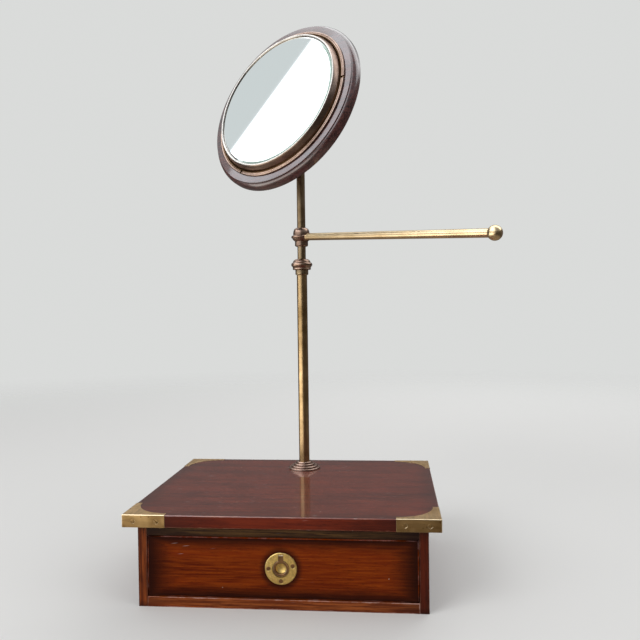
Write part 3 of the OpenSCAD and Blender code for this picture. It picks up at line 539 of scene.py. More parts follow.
@dataclass
class Effects:
    """The node groups that several materials share. A band is the range of a noise that shows."""

    figure: Pattern = Pattern((5.0, 48.0, 48.0), 3.0, 0.5, 0.2)
    figure_share: float = 0.62
    figure_band: Span = (0.36, 0.64)
    ribbon: Pattern = Pattern((2.2, 20.0, 20.0), 1.5, 0.5, 0.4)
    streaks: Pattern = Pattern((22.0, 520.0, 520.0), 3.0, 0.6, 0.3)
    streak_band: Span = (0.36, 0.68)
    pores: Pattern = Pattern((160.0, 1900.0, 1900.0), 1.0, 0.5)
    pore_band: Span = (0.60, 0.72)
    streak_relief: float = 0.35
    pore_relief: float = 0.65
    border_edge: Pattern = Pattern((30.0, 60.0, 60.0), 4.0, 0.65)
    rubbing: Pattern = Pattern((90.0, 90.0, 240.0), 4.0, 0.7)
    rubbing_band: Span = (0.3, 0.75)
    rubbing_reach: Span = (0.35, 1.7)
    arris_fade: Span = (0.4, 1.0)
    wear_highlight_stretches: Pattern = Pattern((28.0, 28.0, 60.0), 3.0, 0.6)
    wear_highlight_band: Span = (0.4, 0.6)
    wear_highlight_share: Span = (0.25, 1.0)
    cloud: Pattern = Pattern(60.0, 2.5, 0.5, 0.4)
    cloud_share: float = 0.55
    patches: Pattern = Pattern(18.0, 3.0, 0.5, 0.2)
    tarnish_edge: float = 0.78
    tarnish_reach: float = 0.5
    tarnish_softness: float = 0.3
    tarnish_centre: float = 0.5
    brass_specks: Pattern = Pattern(420.0, 1.0, 0.5)
    speck_band: Span = (0.68, 0.76)
    brushed: Pattern = Pattern(1.0, 2.0, 0.5)
    brushed_relief: float = 0.3
    scratch_turn: Point = (0.0, 0.1, 0.06)
    scratch_stretch: Point = (16.0, 340.0, 340.0)
    scratch_band: Span = (0.12, 0.04)
    scratched_areas: Pattern = Pattern(17.0, 1.0, 0.5)
    scratch_gate: float = 0.66
    gate_reach: float = 0.2
    gate_sharpness: float = 12.0
    dot_scale: float = 95.0
    dot_band: Span = (0.09, 0.03)
    dusty_areas: Pattern = Pattern(61.0, 0.0)
    dust_band: Span = (0.62, 0.7)
    bloom: Pattern = Pattern(22.0, 4.0, 0.65, 0.5)

    def __post_init__(self) -> None:
        """Builds each group once."""
        self.grain, self.border, self.age, self.knocks = (
            self.make_grain(), self.make_border(), self.make_age(), self.make_knocks())

    def make_grain(self) -> Tree:
        """Makes mahogany: slow figure with ribbon stripes, fine streaks and dark pores, all along X.

        Returns:
            The group.
        """
        graph, given, made = effect("mahogany_grain", {"Vector": ORIGIN, "Shift": 0.0},
                                    ["Figure", "Streaks", "Pores", "Relief"])
        moved = graph.vector("ADD", given["Vector"], given["Shift"])
        figure, ribbon, streaks, dashes = (
            graph.noise(moved, pattern) for pattern in (self.figure, self.ribbon, self.streaks, self.pores))
        pores = graph.spread(dashes, *self.pore_band)
        both = graph.blend(figure, ribbon, self.figure_share)
        graph.put(made["Figure"], graph.spread(both, *self.figure_band))
        graph.put(made["Streaks"], graph.spread(streaks, *self.streak_band))
        graph.put(made["Pores"], pores)
        graph.put(made["Relief"], graph.minus(graph.times(streaks, self.streak_relief),
                                              graph.times(pores, self.pore_relief)))
        return graph.tree

    def make_border(self) -> Tree:
        """Makes the masks of a box: a dark border that fades inwards, and a pale line along its edges that is
        partly wear and partly painted highlight.

        Returns:
            The group.
        """
        graph, given, made = effect("box_edges", {"Vector": ORIGIN, "Centre": ORIGIN, "Half": (1.0, 1.0, 1.0),
                                                  "Width": (0.02, 0.02, 0.02), "Arris": 0.001},
                                    ["Border", "WearAndHighlight"])
        local = given["Vector"]
        room = graph.vector("SUBTRACT", given["Half"],
                            graph.vector("ABSOLUTE", graph.vector("SUBTRACT", local, given["Centre"])))
        shares = graph.vector("DIVIDE", room, given["Width"])
        share = graph.over(graph.second(shares), graph.plus(graph.noise(local, self.border_edge), NOISE_MEAN))
        graph.put(made["Border"], graph.spread(share, 0.0, 1.0, 1.0, 0.0))
        # The pale edge line is partly wear and partly painted highlight on the rounded arris; this noise varies
        # its reach.
        rubbed = graph.spread(graph.noise(local, self.rubbing), *self.rubbing_band, *self.rubbing_reach)
        reach = graph.times(given["Arris"], rubbed)
        near = graph.spread(graph.over(graph.second(room), reach), *self.arris_fade, 1.0, 0.0)
        stretches = graph.spread(graph.noise(local, self.wear_highlight_stretches), *self.wear_highlight_band, *self.wear_highlight_share)
        graph.put(made["WearAndHighlight"], graph.times(near, stretches))
        return graph.tree

    def make_age(self) -> Tree:
        """Makes old brass: cloudy tarnish, dark specks, fine rubbing and shallow dents.

        Returns:
            The group.
        """
        inputs = {"Vector": ORIGIN, "Scale": 1.0, "Amount": 0.5, "Brush": ORIGIN}
        graph, given, made = effect("brass_age", inputs, ["Tarnish", "Specks", "Rubbing", "Relief"])
        values = {0: given["Vector"], "Scale": given["Scale"]}
        sized = graph.node("VectorMath", values, operation="SCALE").outputs[0]
        cloud, patches = graph.noise(sized, self.cloud), graph.noise(sized, self.patches)
        both = graph.blend(cloud, patches, self.cloud_share)
        edge = graph.minus(self.tarnish_edge, graph.times(given["Amount"], self.tarnish_reach))
        rise = graph.over(graph.minus(both, edge), self.tarnish_softness)
        graph.put(made["Tarnish"], graph.math("ADD", rise, self.tarnish_centre, clamp=True))
        graph.put(made["Specks"], graph.spread(graph.noise(sized, self.brass_specks), *self.speck_band))
        rubbing = graph.noise(graph.vector("MULTIPLY", sized, given["Brush"]), self.brushed)
        graph.put(made["Rubbing"], rubbing)
        graph.put(made["Relief"], graph.plus(cloud, graph.times(rubbing, self.brushed_relief)))
        return graph.tree

    def make_knocks(self) -> Tree:
        """Makes handling marks in polish: short pale scratches, dust specks and a cloudy bloom.

        Returns:
            The group.
        """
        graph, given, made = effect("handling_marks", {"Vector": ORIGIN, "Density": 0.5},
                                    ["Scratches", "Specks", "Bloom"])
        local = given["Vector"]
        bent = graph.node("Mapping", {"Vector": local, "Rotation": self.scratch_turn}).outputs[0]
        dashes, dots = (
            graph.node("TexVoronoi", {"Vector": vector, "Scale": scale}).outputs["Distance"]
            for vector, scale in ((graph.vector("MULTIPLY", bent, self.scratch_stretch), 1.0),
                                  (local, self.dot_scale)))
        gate = graph.minus(self.scratch_gate, graph.times(given["Density"], self.gate_reach))
        gated = graph.minus(graph.noise(local, self.scratched_areas), gate)
        open_to = graph.math("MULTIPLY", gated, self.gate_sharpness, clamp=True)
        graph.put(made["Scratches"], graph.times(graph.spread(dashes, *self.scratch_band), open_to))
        rare = graph.spread(graph.noise(local, self.dusty_areas), *self.dust_band)
        graph.put(made["Specks"], graph.times(graph.spread(dots, *self.dot_band), rare))
        graph.put(made["Bloom"], graph.noise(local, self.bloom))
        return graph.tree


def new_material(name: str) -> tuple[Material, Graph, Socket]:
    """Starts a material.

    Args:
        name: The material's name.

    Returns:
        The material, its graph and the Object coordinates.
    """
    material = bpy.data.materials.new(name)
    material.use_nodes = True
    graph = Graph(material.node_tree)
    return material, graph, graph.node("TexCoord").outputs["Object"]


def shade(graph: Graph, values: dict[str, Value]) -> None:
    """Ends a material with its Principled shader."""
    shader = graph.node("BsdfPrincipled", values)
    graph.node("OutputMaterial", {"Surface": shader.outputs[0]})


@dataclass(frozen=True)
class WoodFinish:
    """A wood: its colours, the way its grain runs, its polish, its darkened border and its pale edge lines,
    partly wear and partly painted highlight.
    """

    name: str
    dark: Colour
    body: Colour
    light: Colour
    along: Along = Along.X
    shift: float = 0.0
    rough: float = 0.34
    cloudiness: Span = (0.85, 1.35)
    cloud_band: Span = (0.3, 0.75)
    coat: float = 1.0
    coat_band: Span = (0.35, 0.8)
    coat_loss: float = 0.85
    coat_ior: float = 1.52
    coat_rough: float = 0.08
    gloss: float = 0.35
    border_colour: Colour = srgb(34, 12, 9)
    border_centre: Point = ORIGIN
    border_half: Point | None = None
    border_width: Point = (0.02, 0.02, 0.02)
    border_depth: float = 0.0
    # Colour of the pale edge line: partly wear, partly painted highlight.
    arris_colour: Colour = srgb(150, 104, 84)
    arris_width: float = 0.8 * MM
    arris_depth: float = 0.55
    halo: Span | None = None
    halo_centre: Point = ORIGIN
    halo_depth: float = 0.8
    worn: float = 0.4
    scratch_depth: float = 0.7
    scratch_tint: float = 0.3
    scratch_pallor: float = 0.42
    dust_colour: Colour = srgb(206, 184, 164)
    streak_depth: float = 0.6
    pore_depth: float = 0.45
    pore_shade: float = 0.3
    relief: float = 0.1
    relief_height: float = 0.15 * MM

    def build(self, effects: Effects, place: Matrix | None = None) -> Material:
        """Builds the material.

        Args:
            effects: The shared groups.
            place: Where the piece's own frame lies, for a piece that is tilted.

        Returns:
            The material.
        """
        material, graph, local = new_material(self.name)
        if place is not None:
            local = graph.own(local, place)
        turn = {"Vector": local, "Rotation": tuple(math.radians(a) for a in self.along.value)}
        grain_way = graph.node("Mapping", turn, vector_type="TEXTURE").outputs[0]
        grain = graph.group(effects.grain, Vector=grain_way, Shift=self.shift)
        colour = graph.mix(grain["Figure"], self.dark, self.body)
        colour = graph.mix(graph.times(grain["Streaks"], self.streak_depth), colour, self.light)
        pores = graph.times(grain["Pores"], self.pore_depth)
        colour = graph.mix(pores, colour, shaded(self.dark, self.pore_shade))
        if self.border_half is not None:
            colour = self.edged(graph, effects, local, colour)
        if self.halo is not None:
            away = graph.vector("DISTANCE", local, self.halo_centre)
            shadow = graph.spread(away, *self.halo, self.halo_depth, 0.0)
            colour = graph.mix(shadow, colour, self.border_colour)
        marks = graph.group(effects.knocks, Vector=local, Density=self.worn)
        pale = tuple(self.scratch_tint * c + self.scratch_pallor for c in self.light)
        colour = graph.mix(graph.times(marks["Scratches"], self.worn * self.scratch_depth), colour, pale)
        colour = graph.mix(graph.times(marks["Specks"], self.worn), colour, self.dust_colour)
        cloudy = (self.rough * share for share in self.cloudiness)
        cloud = graph.spread(marks["Bloom"], *self.cloud_band, *cloudy)
        bump = graph.node("Bump", {"Height": grain["Relief"], "Strength": self.relief,
                                   "Distance": self.relief_height})
        values = {"Base Color": colour, "Roughness": cloud, "Normal": bump.outputs[0],
                  "Coat Roughness": self.coat_rough, "Coat IOR": self.coat_ior,
                  "Specular IOR Level": self.gloss}
        if self.coat:
            thin = self.coat * self.coat_loss
            values["Coat Weight"] = graph.spread(marks["Bloom"], *self.coat_band, self.coat, thin)
        shade(graph, values)
        return material

    def edged(self, graph: Graph, effects: Effects, local: Socket, colour: Socket) -> Socket:
        """Darkens the border of a box and pales its edges with a line that is partly wear and partly painted
        highlight.

        Args:
            graph: The material's graph.
            effects: The shared groups.
            local: The piece's coordinates.
            colour: The wood's colour so far.

        Returns:
            The colour with both.
        """
        edges = graph.group(effects.border, Vector=local, Centre=self.border_centre, Half=self.border_half,
                            Width=self.border_width, Arris=self.arris_width)
        colour = graph.mix(graph.times(edges["Border"], self.border_depth), colour, self.border_colour)
        # Pale line along the edges: partly wear, partly painted highlight.
        return graph.mix(graph.times(edges["WearAndHighlight"], self.arris_depth), colour, self.arris_colour)


@dataclass(frozen=True)
class BrassFinish:
    """A brass, clean and tarnished, with its gloss, its bright ridges, partly rubbed and partly painted
    highlight, and the dirt in its hollow.
    """

    name: str
    clean: Colour
    tarnish: Colour
    amount: float = 0.5
    rough: float = 0.26
    scale: float = 1.0
    specks: float = 0.6
    speck_shade: float = 0.3
    dulling: float = 1.3
    ridge_wear_highlight: float = 0.0
    ridge_wear_highlight_colour: Colour = srgb(246, 228, 192)
    brush: Point = (60.0, 60.0, 1500.0)
    brush_band: Span = (0.3, 0.7)
    brush_tones: Span = (0.86, 1.1)
    dents: float = 0.05
    dent_height: float = 0.05 * MM
    hollow: Span = ORIGIN[:2]
    hollow_fade: float = 0.5 * MM
    hollow_depth: float = 0.92
    hollow_colour: Colour = srgb(74, 52, 20)

    def dirty(self, graph: Graph, local: Socket, colour: Socket, place: Matrix) -> Socket:
        """Darkens the ring-shaped hollow of a turned piece.

        Args:
            graph: The material's graph.
            local: The piece's coordinates.
            colour: The brass's colour so far.
            place: Where the piece's own frame lies.

        Returns:
            The colour with the dirt.
        """
        radius = graph.vector("LENGTH", graph.vector("MULTIPLY", graph.own(local, place), LEVEL))
        low, high = self.hollow
        inside = graph.times(graph.spread(radius, low, low + self.hollow_fade),
                             graph.spread(radius, high - self.hollow_fade, high, 1.0, 0.0))
        return graph.mix(graph.times(inside, self.hollow_depth), colour, self.hollow_colour)

    def build(self, effects: Effects, place: Matrix | None = None) -> Material:
        """Builds the material.

        Args:
            effects: The shared groups.
            place: Where the piece's own frame lies, for a piece with a dirty hollow.

        Returns:
            The material.
        """
        material, graph, local = new_material(self.name)
        age = graph.group(effects.age, Vector=local, Scale=self.scale, Amount=self.amount, Brush=self.brush)
        colour = graph.mix(age["Tarnish"], self.clean, self.tarnish)
        tone = graph.spread(age["Rubbing"], *self.brush_band, *self.brush_tones)
        grey = graph.node("CombineColor", {0: tone, 1: tone, 2: tone}).outputs[0]
        colour = graph.mix(1.0, colour, grey, "MULTIPLY")
        specks = graph.times(age["Specks"], self.specks)
        colour = graph.mix(specks, colour, shaded(self.tarnish, self.speck_shade))
        rough = graph.spread(age["Tarnish"], 0.0, 1.0, self.rough, self.rough * self.dulling)
        # Bright ridges: partly rubbed brass, partly painted highlight along the rounded edges.
        if self.ridge_wear_highlight:
            ridge = graph.node("Attribute", {}, attribute_name="ridge").outputs["Fac"]
            colour = graph.mix(graph.times(ridge, self.ridge_wear_highlight), colour, self.ridge_wear_highlight_colour)
        if place is not None:
            colour = self.dirty(graph, local, colour, place)
        bump = graph.node("Bump", {"Height": age["Relief"], "Strength": self.dents,
                                   "Distance": self.dent_height})
        shade(graph, {"Base Color": colour, "Metallic": 1.0, "Roughness": rough, "Normal": bump.outputs[0]})
        return material


@dataclass(frozen=True)
class GlassFinish:
    """Silvered glass with a darker green-grey band along one side of its rim, flecked with dark specks."""

    name: str
    silver: Colour
    rim: Colour
    rim_band: Span
    foxing_colour: Colour = srgb(52, 60, 54)
    rim_side_way: Point = (0.85, -0.53, 0.0)
    rim_side_band: Span = (-0.02, 0.03)
    rim_wander: Pattern = Pattern(60.0, 4.0)
    rim_shift: float = 1.4 * MM
    foxing: Pattern = Pattern(420.0, 2.0)
    foxing_band: Span = (0.6, 0.7)
    rough: Span = (0.015, 0.12)

    def build(self, place: Matrix) -> Material:
        """Builds the material.

        Args:
            place: Where the glass's own frame lies.

        Returns:
            The material.
        """
        material, graph, local = new_material(self.name)
        flat = graph.vector("MULTIPLY", graph.own(local, place), LEVEL)
        wander = graph.times(graph.minus(graph.noise(flat, self.rim_wander), NOISE_MEAN), self.rim_shift)
        edge = graph.spread(graph.plus(graph.vector("LENGTH", flat), wander), *self.rim_band)
        # Limits the darker rim band to one side of the disc.
        side = graph.spread(graph.vector("DOT_PRODUCT", flat, self.rim_side_way), *self.rim_side_band)
        band = graph.times(edge, side)
        colour = graph.mix(band, self.silver, self.rim)
        foxed = graph.times(band, graph.spread(graph.noise(flat, self.foxing), *self.foxing_band))
        colour = graph.mix(foxed, colour, self.foxing_colour)
        rough = graph.spread(band, 0.0, 1.0, *self.rough)
        shade(graph, {"Base Color": colour, "Metallic": 1.0, "Roughness": rough})
        return material


@dataclass(frozen=True)
class FeltFinish:
    """Thin felt with a short nap."""

    name: str
    colour: Colour
    nap: Pattern = Pattern(1400.0, 3.0, 0.7)
    nap_band: Span = (0.3, 0.7)
    nap_shade: float = 0.6
    nap_relief: float = 0.5
    nap_height: float = 0.3 * MM
    cloud: Pattern = Pattern(40.0, 3.0, 0.6)
    cloud_light: float = 1.5
    cloud_depth: float = 0.4
    rough: float = 0.95
    sheen: float = 0.3

    def build(self) -> Material:
        """Builds the material.

        Returns:
            The material.
        """
        material, graph, local = new_material(self.name)
        nap, cloud = graph.noise(local, self.nap), graph.noise(local, self.cloud)
        deep, pale = shaded(self.colour, self.nap_shade), shaded(self.colour, self.cloud_light)
        colour = graph.mix(graph.spread(nap, *self.nap_band), deep, self.colour)
        colour = graph.mix(graph.times(cloud, self.cloud_depth), colour, pale)
        bump = graph.node("Bump", {"Height": nap, "Strength": self.nap_relief, "Distance": self.nap_height})
        shade(graph, {"Base Color": colour, "Roughness": self.rough, "Normal": bump.outputs[0],
                      "Sheen Weight": self.sheen})
        return material


def mark_ridges(obj: Piece, narrow: float, least_fold: float = 8.0) -> Piece:
    """Marks the narrow faces of rounded outer edges with 1 in the attribute "ridge".

    Args:
        obj: The piece.
        narrow: The width under which a face counts as part of a rounding.
        least_fold: The least angle, in degrees, between two faces of a rounding.

    Returns:
        The same piece.
    """
    mesh = obj.data
    sides: dict[tuple[int, int], list[int]] = {}
    for face in mesh.polygons:
        for key in face.edge_keys:
            sides.setdefault(key, []).append(face.index)
    outward = [0] * len(mesh.polygons)
    for faces in sides.values():
        if len(faces) != 2:
            continue
        first, second = (mesh.polygons[i] for i in faces)
        fold = first.normal.angle(second.normal, 0.0)
        if fold > math.radians(least_fold) and (second.center - first.center).dot(first.normal) < 0:
            for face in (first, second):
                outward[face.index] += 1
    corners = mesh.vertices
    values = []
    for face in mesh.polygons:
        girth = sum((corners[a].co - corners[b].co).length for a, b in face.edge_keys)
        values.append(1.0 if 2 * face.area / girth < narrow and outward[face.index] >= 2 else 0.0)
    mesh.attributes.new("ridge", "FLOAT", "FACE").data.foreach_set("value", values)
    return obj


def middle_of(node: str) -> Vector:
    """Gives the middle of a CAD node's box."""
    low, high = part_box(node)
    return (low + high) / 2


def half_of(node: str) -> Vector:
    """Gives half the size of a CAD node's box."""
    low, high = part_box(node)
    return (high - low) / 2


def boxed(node: str, name: str, colours: tuple[Colour, ...], width: Point, depth: float,
          **more: object) -> WoodFinish:
    """Gives a wood whose border follows a node's box.

    Args:
        node: The CAD node.
        name: The finish's name.
        colours: The dark, body and light colours.
        width: The border's width along each axis.
        depth: How dark the border is.
        more: Further fields of the finish.

    Returns:
        The finish.
    """
    centre, half = tuple(middle_of(node)), tuple(half_of(node))
    return WoodFinish(name, *colours, border_centre=centre, border_half=half, border_width=width,
                      border_depth=depth, **more)


PALE_WOOD = WoodFinish("drawer_lining_wood", *shades((116, 82, 50), (152, 114, 74), (176, 140, 98)), coat=0.0,
                       rough=0.62, worn=0.25, pore_depth=0.35, shift=2.3)
DULL_BRASS = BrassFinish("dull_brass", srgb(120, 96, 62), srgb(58, 44, 32), 0.6, 0.36)
DARK_WOOD_SHADES = shades((40, 13, 8), (84, 28, 13), (116, 48, 24))


@dataclass
class BoxCase:
    """The mahogany case: the top board, the sides, the back, the bottom and the rail over the drawer."""

    effects: Effects
    edge: float = 0.5 * MM
    fine_edge: float = 0.3 * MM
    back_edge: float = 0.4 * MM
    broad_arris: float = 0.9 * MM
    front: Vector = field(default_factory=lambda: Vector((0.0, -1.0, 0.0)))

    def build(self) -> None:
        """Dresses the case."""
        rubbed = {"coat": 0.2, "gloss": 0.1}
        board = self.put("top_board", "polished_top", boxed(
            "top_board", "top_mahogany", shades((64, 20, 11), (98, 34, 18), (124, 50, 26)),
            (0.022, 0.020, NO_BORDER), 0.55, shift=0.31, rough=0.37, coat_rough=0.05, worn=1.0,
            arris_depth=0.7, arris_width=self.broad_arris, pore_depth=0.12, relief=0.01))
        edge = boxed("top_board", "board_edge_mahogany", shades((58, 16, 8), (96, 30, 14), (120, 44, 20)),
                     (0.14, NO_BORDER, NO_BORDER), 0.9, shift=0.31, arris_depth=0.7,
                     arris_width=self.broad_arris, **rubbed)
        faced(board, edge.build(self.effects), self.front)
        # Both stiles are the same wood: the left one's colours are painted lighter and the right one's painted
        # darker, for light falling from the left.
        for side, shift, stile in (("left", 0.7, shades((74, 27, 9), (132, 58, 18), (152, 76, 30))),
                                   ("right", 1.9, shades((40, 10, 3), (70, 20, 5), (88, 30, 10)))):
            node = f"side_{side}"
            panel = self.put(node, f"case_side_{side}", boxed(
                node, f"side_mahogany_{side}", DARK_WOOD_SHADES, (NO_BORDER, 0.012, 0.012), 0.6,
                along=Along.Y, shift=shift, arris_depth=0.35))
            post = boxed(node, f"stile_mahogany_painted_light_{side}", stile, (0.002, NO_BORDER, 0.008), 0.7,
                         along=Along.Z, shift=shift, arris_depth=0.35, **rubbed)
            faced(panel, post.build(self.effects), self.front)
        # The rail is dark at its ends; the 3 mm dark strips along its top and bottom edges are painted shade,
        # under the board's overhang and above the drawer.
        self.put("top_rail", "rail_over_drawer", boxed(
            "top_rail", "rail_mahogany", shades((26, 11, 7), (58, 34, 18), (112, 80, 42)),
            (0.055, NO_BORDER, 0.003), 0.9, shift=0.9, arris_depth=0.0, **rubbed))
        self.put("bottom_board", "case_bottom", boxed(
            "bottom_board", "bottom_mahogany", shades((80, 30, 10), (144, 64, 22), (170, 92, 42)),
            (0.03, NO_BORDER, NO_BORDER), 0.5, shift=1.4, arris_colour=srgb(176, 140, 130),
            arris_width=self.broad_arris, arris_depth=0.8, **rubbed), width=self.fine_edge)
        self.put("back_panel", "case_back", boxed(
            "back_panel", "back_mahogany", DARK_WOOD_SHADES, (0.02, NO_BORDER, 0.015), 0.4, shift=5.2,
            coat=0.5, rough=0.45, coat_rough=0.2), "pale_wood", self.back_edge)
        for node in ("kickers", "drawer_stops"):
            self.put(node, f"dressed_{node}", PALE_WOOD, "pale_wood", self.fine_edge)

    def put(self, node: str, name: str, finish: WoodFinish, slot: str = "mahogany",
            width: float = 0.0) -> Piece:
        """Dresses one board of the case, with the case's own rounding where no width is given."""
        material = bpy.data.materials.get(finish.name) or finish.build(self.effects)
        return finished(dressed(node, name, width or self.edge), "root", material)


@dataclass
class ScrewHead:
    """A countersunk brass screw with a slot, domed a little over its face."""

    radius: float
    thickness: float = 1.1 * MM
    sink: float = 0.8
    rim: float = 0.15 * MM
    rim_draft: float = 0.05 * MM
    crown: float = 0.15 * MM
    crown_start: float = 0.6
    slot_width: float = 0.6 * MM
    slot_depth: float = 0.5 * MM

    def pattern(self) -> Piece:
        """Models one screw head with its face at z = 0, pointing down.

        Returns:
            The screw head.
        """
        r, t = self.radius, self.thickness
        profile = [(0.0, -t), (r - self.sink * t, -t), (r - self.rim_draft, -self.rim), (r - self.rim, 0.0),
                   (self.crown_start * r, self.crown_start * self.crown), (0.0, self.crown)]
        head = turned("screw_pattern", profile, 28)
        return smooth(cut(head, block((3 * r, self.slot_width, 2 * self.slot_depth))), 40.0)


@dataclass
class CornerBrasses:
    """The four folded brasses on the board's corners, with their screws."""

    effects: Effects
    screws_at: Span = (10.5 * MM, 34.0 * MM)
    proud: float = 0.25 * MM
    head_radius: float = 2.25 * MM
    slot_turn: float = 67.0
    edge: float = 0.22 * MM
    ridge: float = 0.3 * MM
    brass: BrassFinish = BrassFinish("corner_brass", srgb(184, 154, 106), srgb(118, 90, 52), 0.5, 0.34,
                                     ridge_wear_highlight=0.75, brush=(40.0, 40.0, 300.0))
    # The top faces get a lighter copy of the same brass: painted light, for how the light falls on them.
    top_brass_painted_lighter: BrassFinish = BrassFinish("corner_top_brass", srgb(240, 206, 156), srgb(160, 126, 80), 0.5,
                                         0.34, ridge_wear_highlight=0.75, brush=(300.0, 40.0, 40.0))

    def screw_places(self) -> list[Matrix]:
        """Works out where the screws sit, each with its slot turned another way.

        Returns:
            The places.
        """
        low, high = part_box("top_board")
        height = (low.z + high.z) / 2
        places = []
        for sx in (-1, 1):
            for sy in (-1, 1):
                corner = Vector((sx * high.x, sy * high.y, height))
                for away in self.screws_at:
                    places.append((corner + Vector((-sx * away, sy * self.proud, 0.0)), Vector((0, sy, 0))))
                    places.append((corner + Vector((sx * self.proud, -sy * away, 0.0)), Vector((sx, 0, 0))))
        return [Matrix.Translation(at) @ way.to_track_quat("Z", "Y").to_matrix().to_4x4()
                @ spin(self.slot_turn * i) for i, (at, way) in enumerate(places)]

    def build(self) -> None:
        """Dresses the corners and models the screws."""
        brass, top = self.brass.build(self.effects), self.top_brass_painted_lighter.build(self.effects)
        for corner in ("front_left", "front_right", "back_left", "back_right"):
            piece = dressed(f"corner_{corner}", f"brass_{corner}", self.edge)
            finished(mark_ridges(piece, self.ridge), "root", brass)
            # Upward faces take the painted-lighter copy of the brass.
            faced(piece, top, Vector((0.0, 0.0, 1.0)))
        screws = repeated("corner_screw_heads", ScrewHead(self.head_radius).pattern(), self.screw_places())
        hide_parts("corner_screws")
        finished(screws, "root", brass)


@dataclass
class Drawer:
    """The drawer with its shaded front, and the flush ring pull."""

    effects: Effects
    edge: float = 0.3 * MM
    screw_ring: float = 11.9 * MM
    head_radius: float = 2.1 * MM
    screw_angles: tuple[Span, ...] = ((14.0, 20.0), (180.0, 75.0), (270.0, 50.0))
    halo: Span = (16.0 * MM, 23.0 * MM)
    rose_edge: float = 0.25 * MM
    rose_ridge: float = 0.3 * MM
    hoop_edge: float = 0.15 * MM
    hoop_ridge: float = 0.2 * MM
    pin_edge: float = 0.1 * MM
    pull_brass: BrassFinish = BrassFinish("pull_brass", srgb(252, 222, 140), srgb(206, 170, 96), 0.42, 0.42,
                                          scale=1.6, ridge_wear_highlight=0.6, brush=(300.0, 300.0, 300.0))
    ring_brass: BrassFinish = BrassFinish("ring_brass", srgb(170, 132, 92), srgb(104, 76, 54), 0.55, 0.38,
                                          scale=2.0, ridge_wear_highlight=0.4)

    def face_finish(self) -> WoodFinish:
        """Gives the drawer front's finish: bright in the middle, dark towards its edges and round the pull.

        Returns:
            The finish.
        """
        pull = middle_of("pull_plate")
        return boxed("drawer_front", "drawer_mahogany", shades((76, 19, 1), (112, 38, 3), (142, 62, 8)),
                     (0.034, NO_BORDER, 0.016), 0.96, shift=0.12, coat=0.12, gloss=0.05,
                     border_colour=srgb(30, 6, 3), arris_colour=srgb(150, 112, 108), arris_width=0.9 * MM,
                     arris_depth=0.6, worn=0.55, halo=self.halo,
                     halo_centre=(pull.x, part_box("drawer_front")[0].y, pull.z))

    def screw_places(self) -> list[Matrix]:
        """Works out where the pull's three screws sit.

        Returns:
            The places.
        """
        centre = middle_of("pull_plate")
        outward = Matrix.Translation((centre.x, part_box("pull_plate")[0].y, centre.z)) @ spin(90.0, "X")
        ring = Matrix.Translation((self.screw_ring, 0.0, 0.0))
        return [outward @ spin(angle) @ ring @ spin(slot - angle) for angle, slot in self.screw_angles]

    def build(self) -> None:
        """Dresses the drawer and its pull."""
        front = self.face_finish().build(self.effects)
        pale = bpy.data.materials[PALE_WOOD.name]
        brass, ring = self.pull_brass.build(self.effects), self.ring_brass.build(self.effects)
        finished(dressed("drawer_front", "drawer_face", self.edge), "drawer", front)
        for node in ("drawer_side_left", "drawer_side_right", "drawer_back", "drawer_bottom"):
            finished(dressed(node, f"dressed_{node}", self.edge), "drawer", pale)
        rose = mark_ridges(dressed("pull_plate", "pull_rose", self.rose_edge), self.rose_ridge)
        finished(rose, "drawer", brass)
        hoop = mark_ridges(dressed("pull_ring", "lifting_ring", self.hoop_edge), self.hoop_ridge)
        finished(hoop, "pull_ring", ring)
        finished(dressed("pull_pin", "ring_pin", self.pin_edge), "drawer", ring)
        screws = repeated("pull_screw_heads", ScrewHead(self.head_radius).pattern(), self.screw_places())
        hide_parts("pull_screws")
        finished(screws, "drawer", ring)


@dataclass
class Turnery:
    """Turned parts that share an axis, and their place."""

    place: Matrix

    def part(self, node: str, name: str, profile: Profile, closed: bool = True, edge: float = 0.0,
             segments: int = 128) -> Piece:
        """Turns a part, rounds its edges and seats it where a CAD node stands.

        Args:
            node: The CAD node that the part stands for.
            name: The part's name.
            profile: Its section in millimetres.
            closed: Whether the section is a loop.
            edge: The rounding of its sharp edges, in metres.
            segments: How many steps the turn has.

        Returns:
            The part.
        """
        piece = turned(name, [(r * MM, z * MM) for r, z in profile], segments, closed)
        if edge:
            rounded(piece, edge, angle=28.0)
        seat(piece, self.place)
        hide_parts(node)
        return piece


def pole_axis() -> Turnery:
    """Gives the pole's upright axis."""
    return Turnery(Matrix.Translation((0.0, middle_of("outer_tube").y, 0.0)))


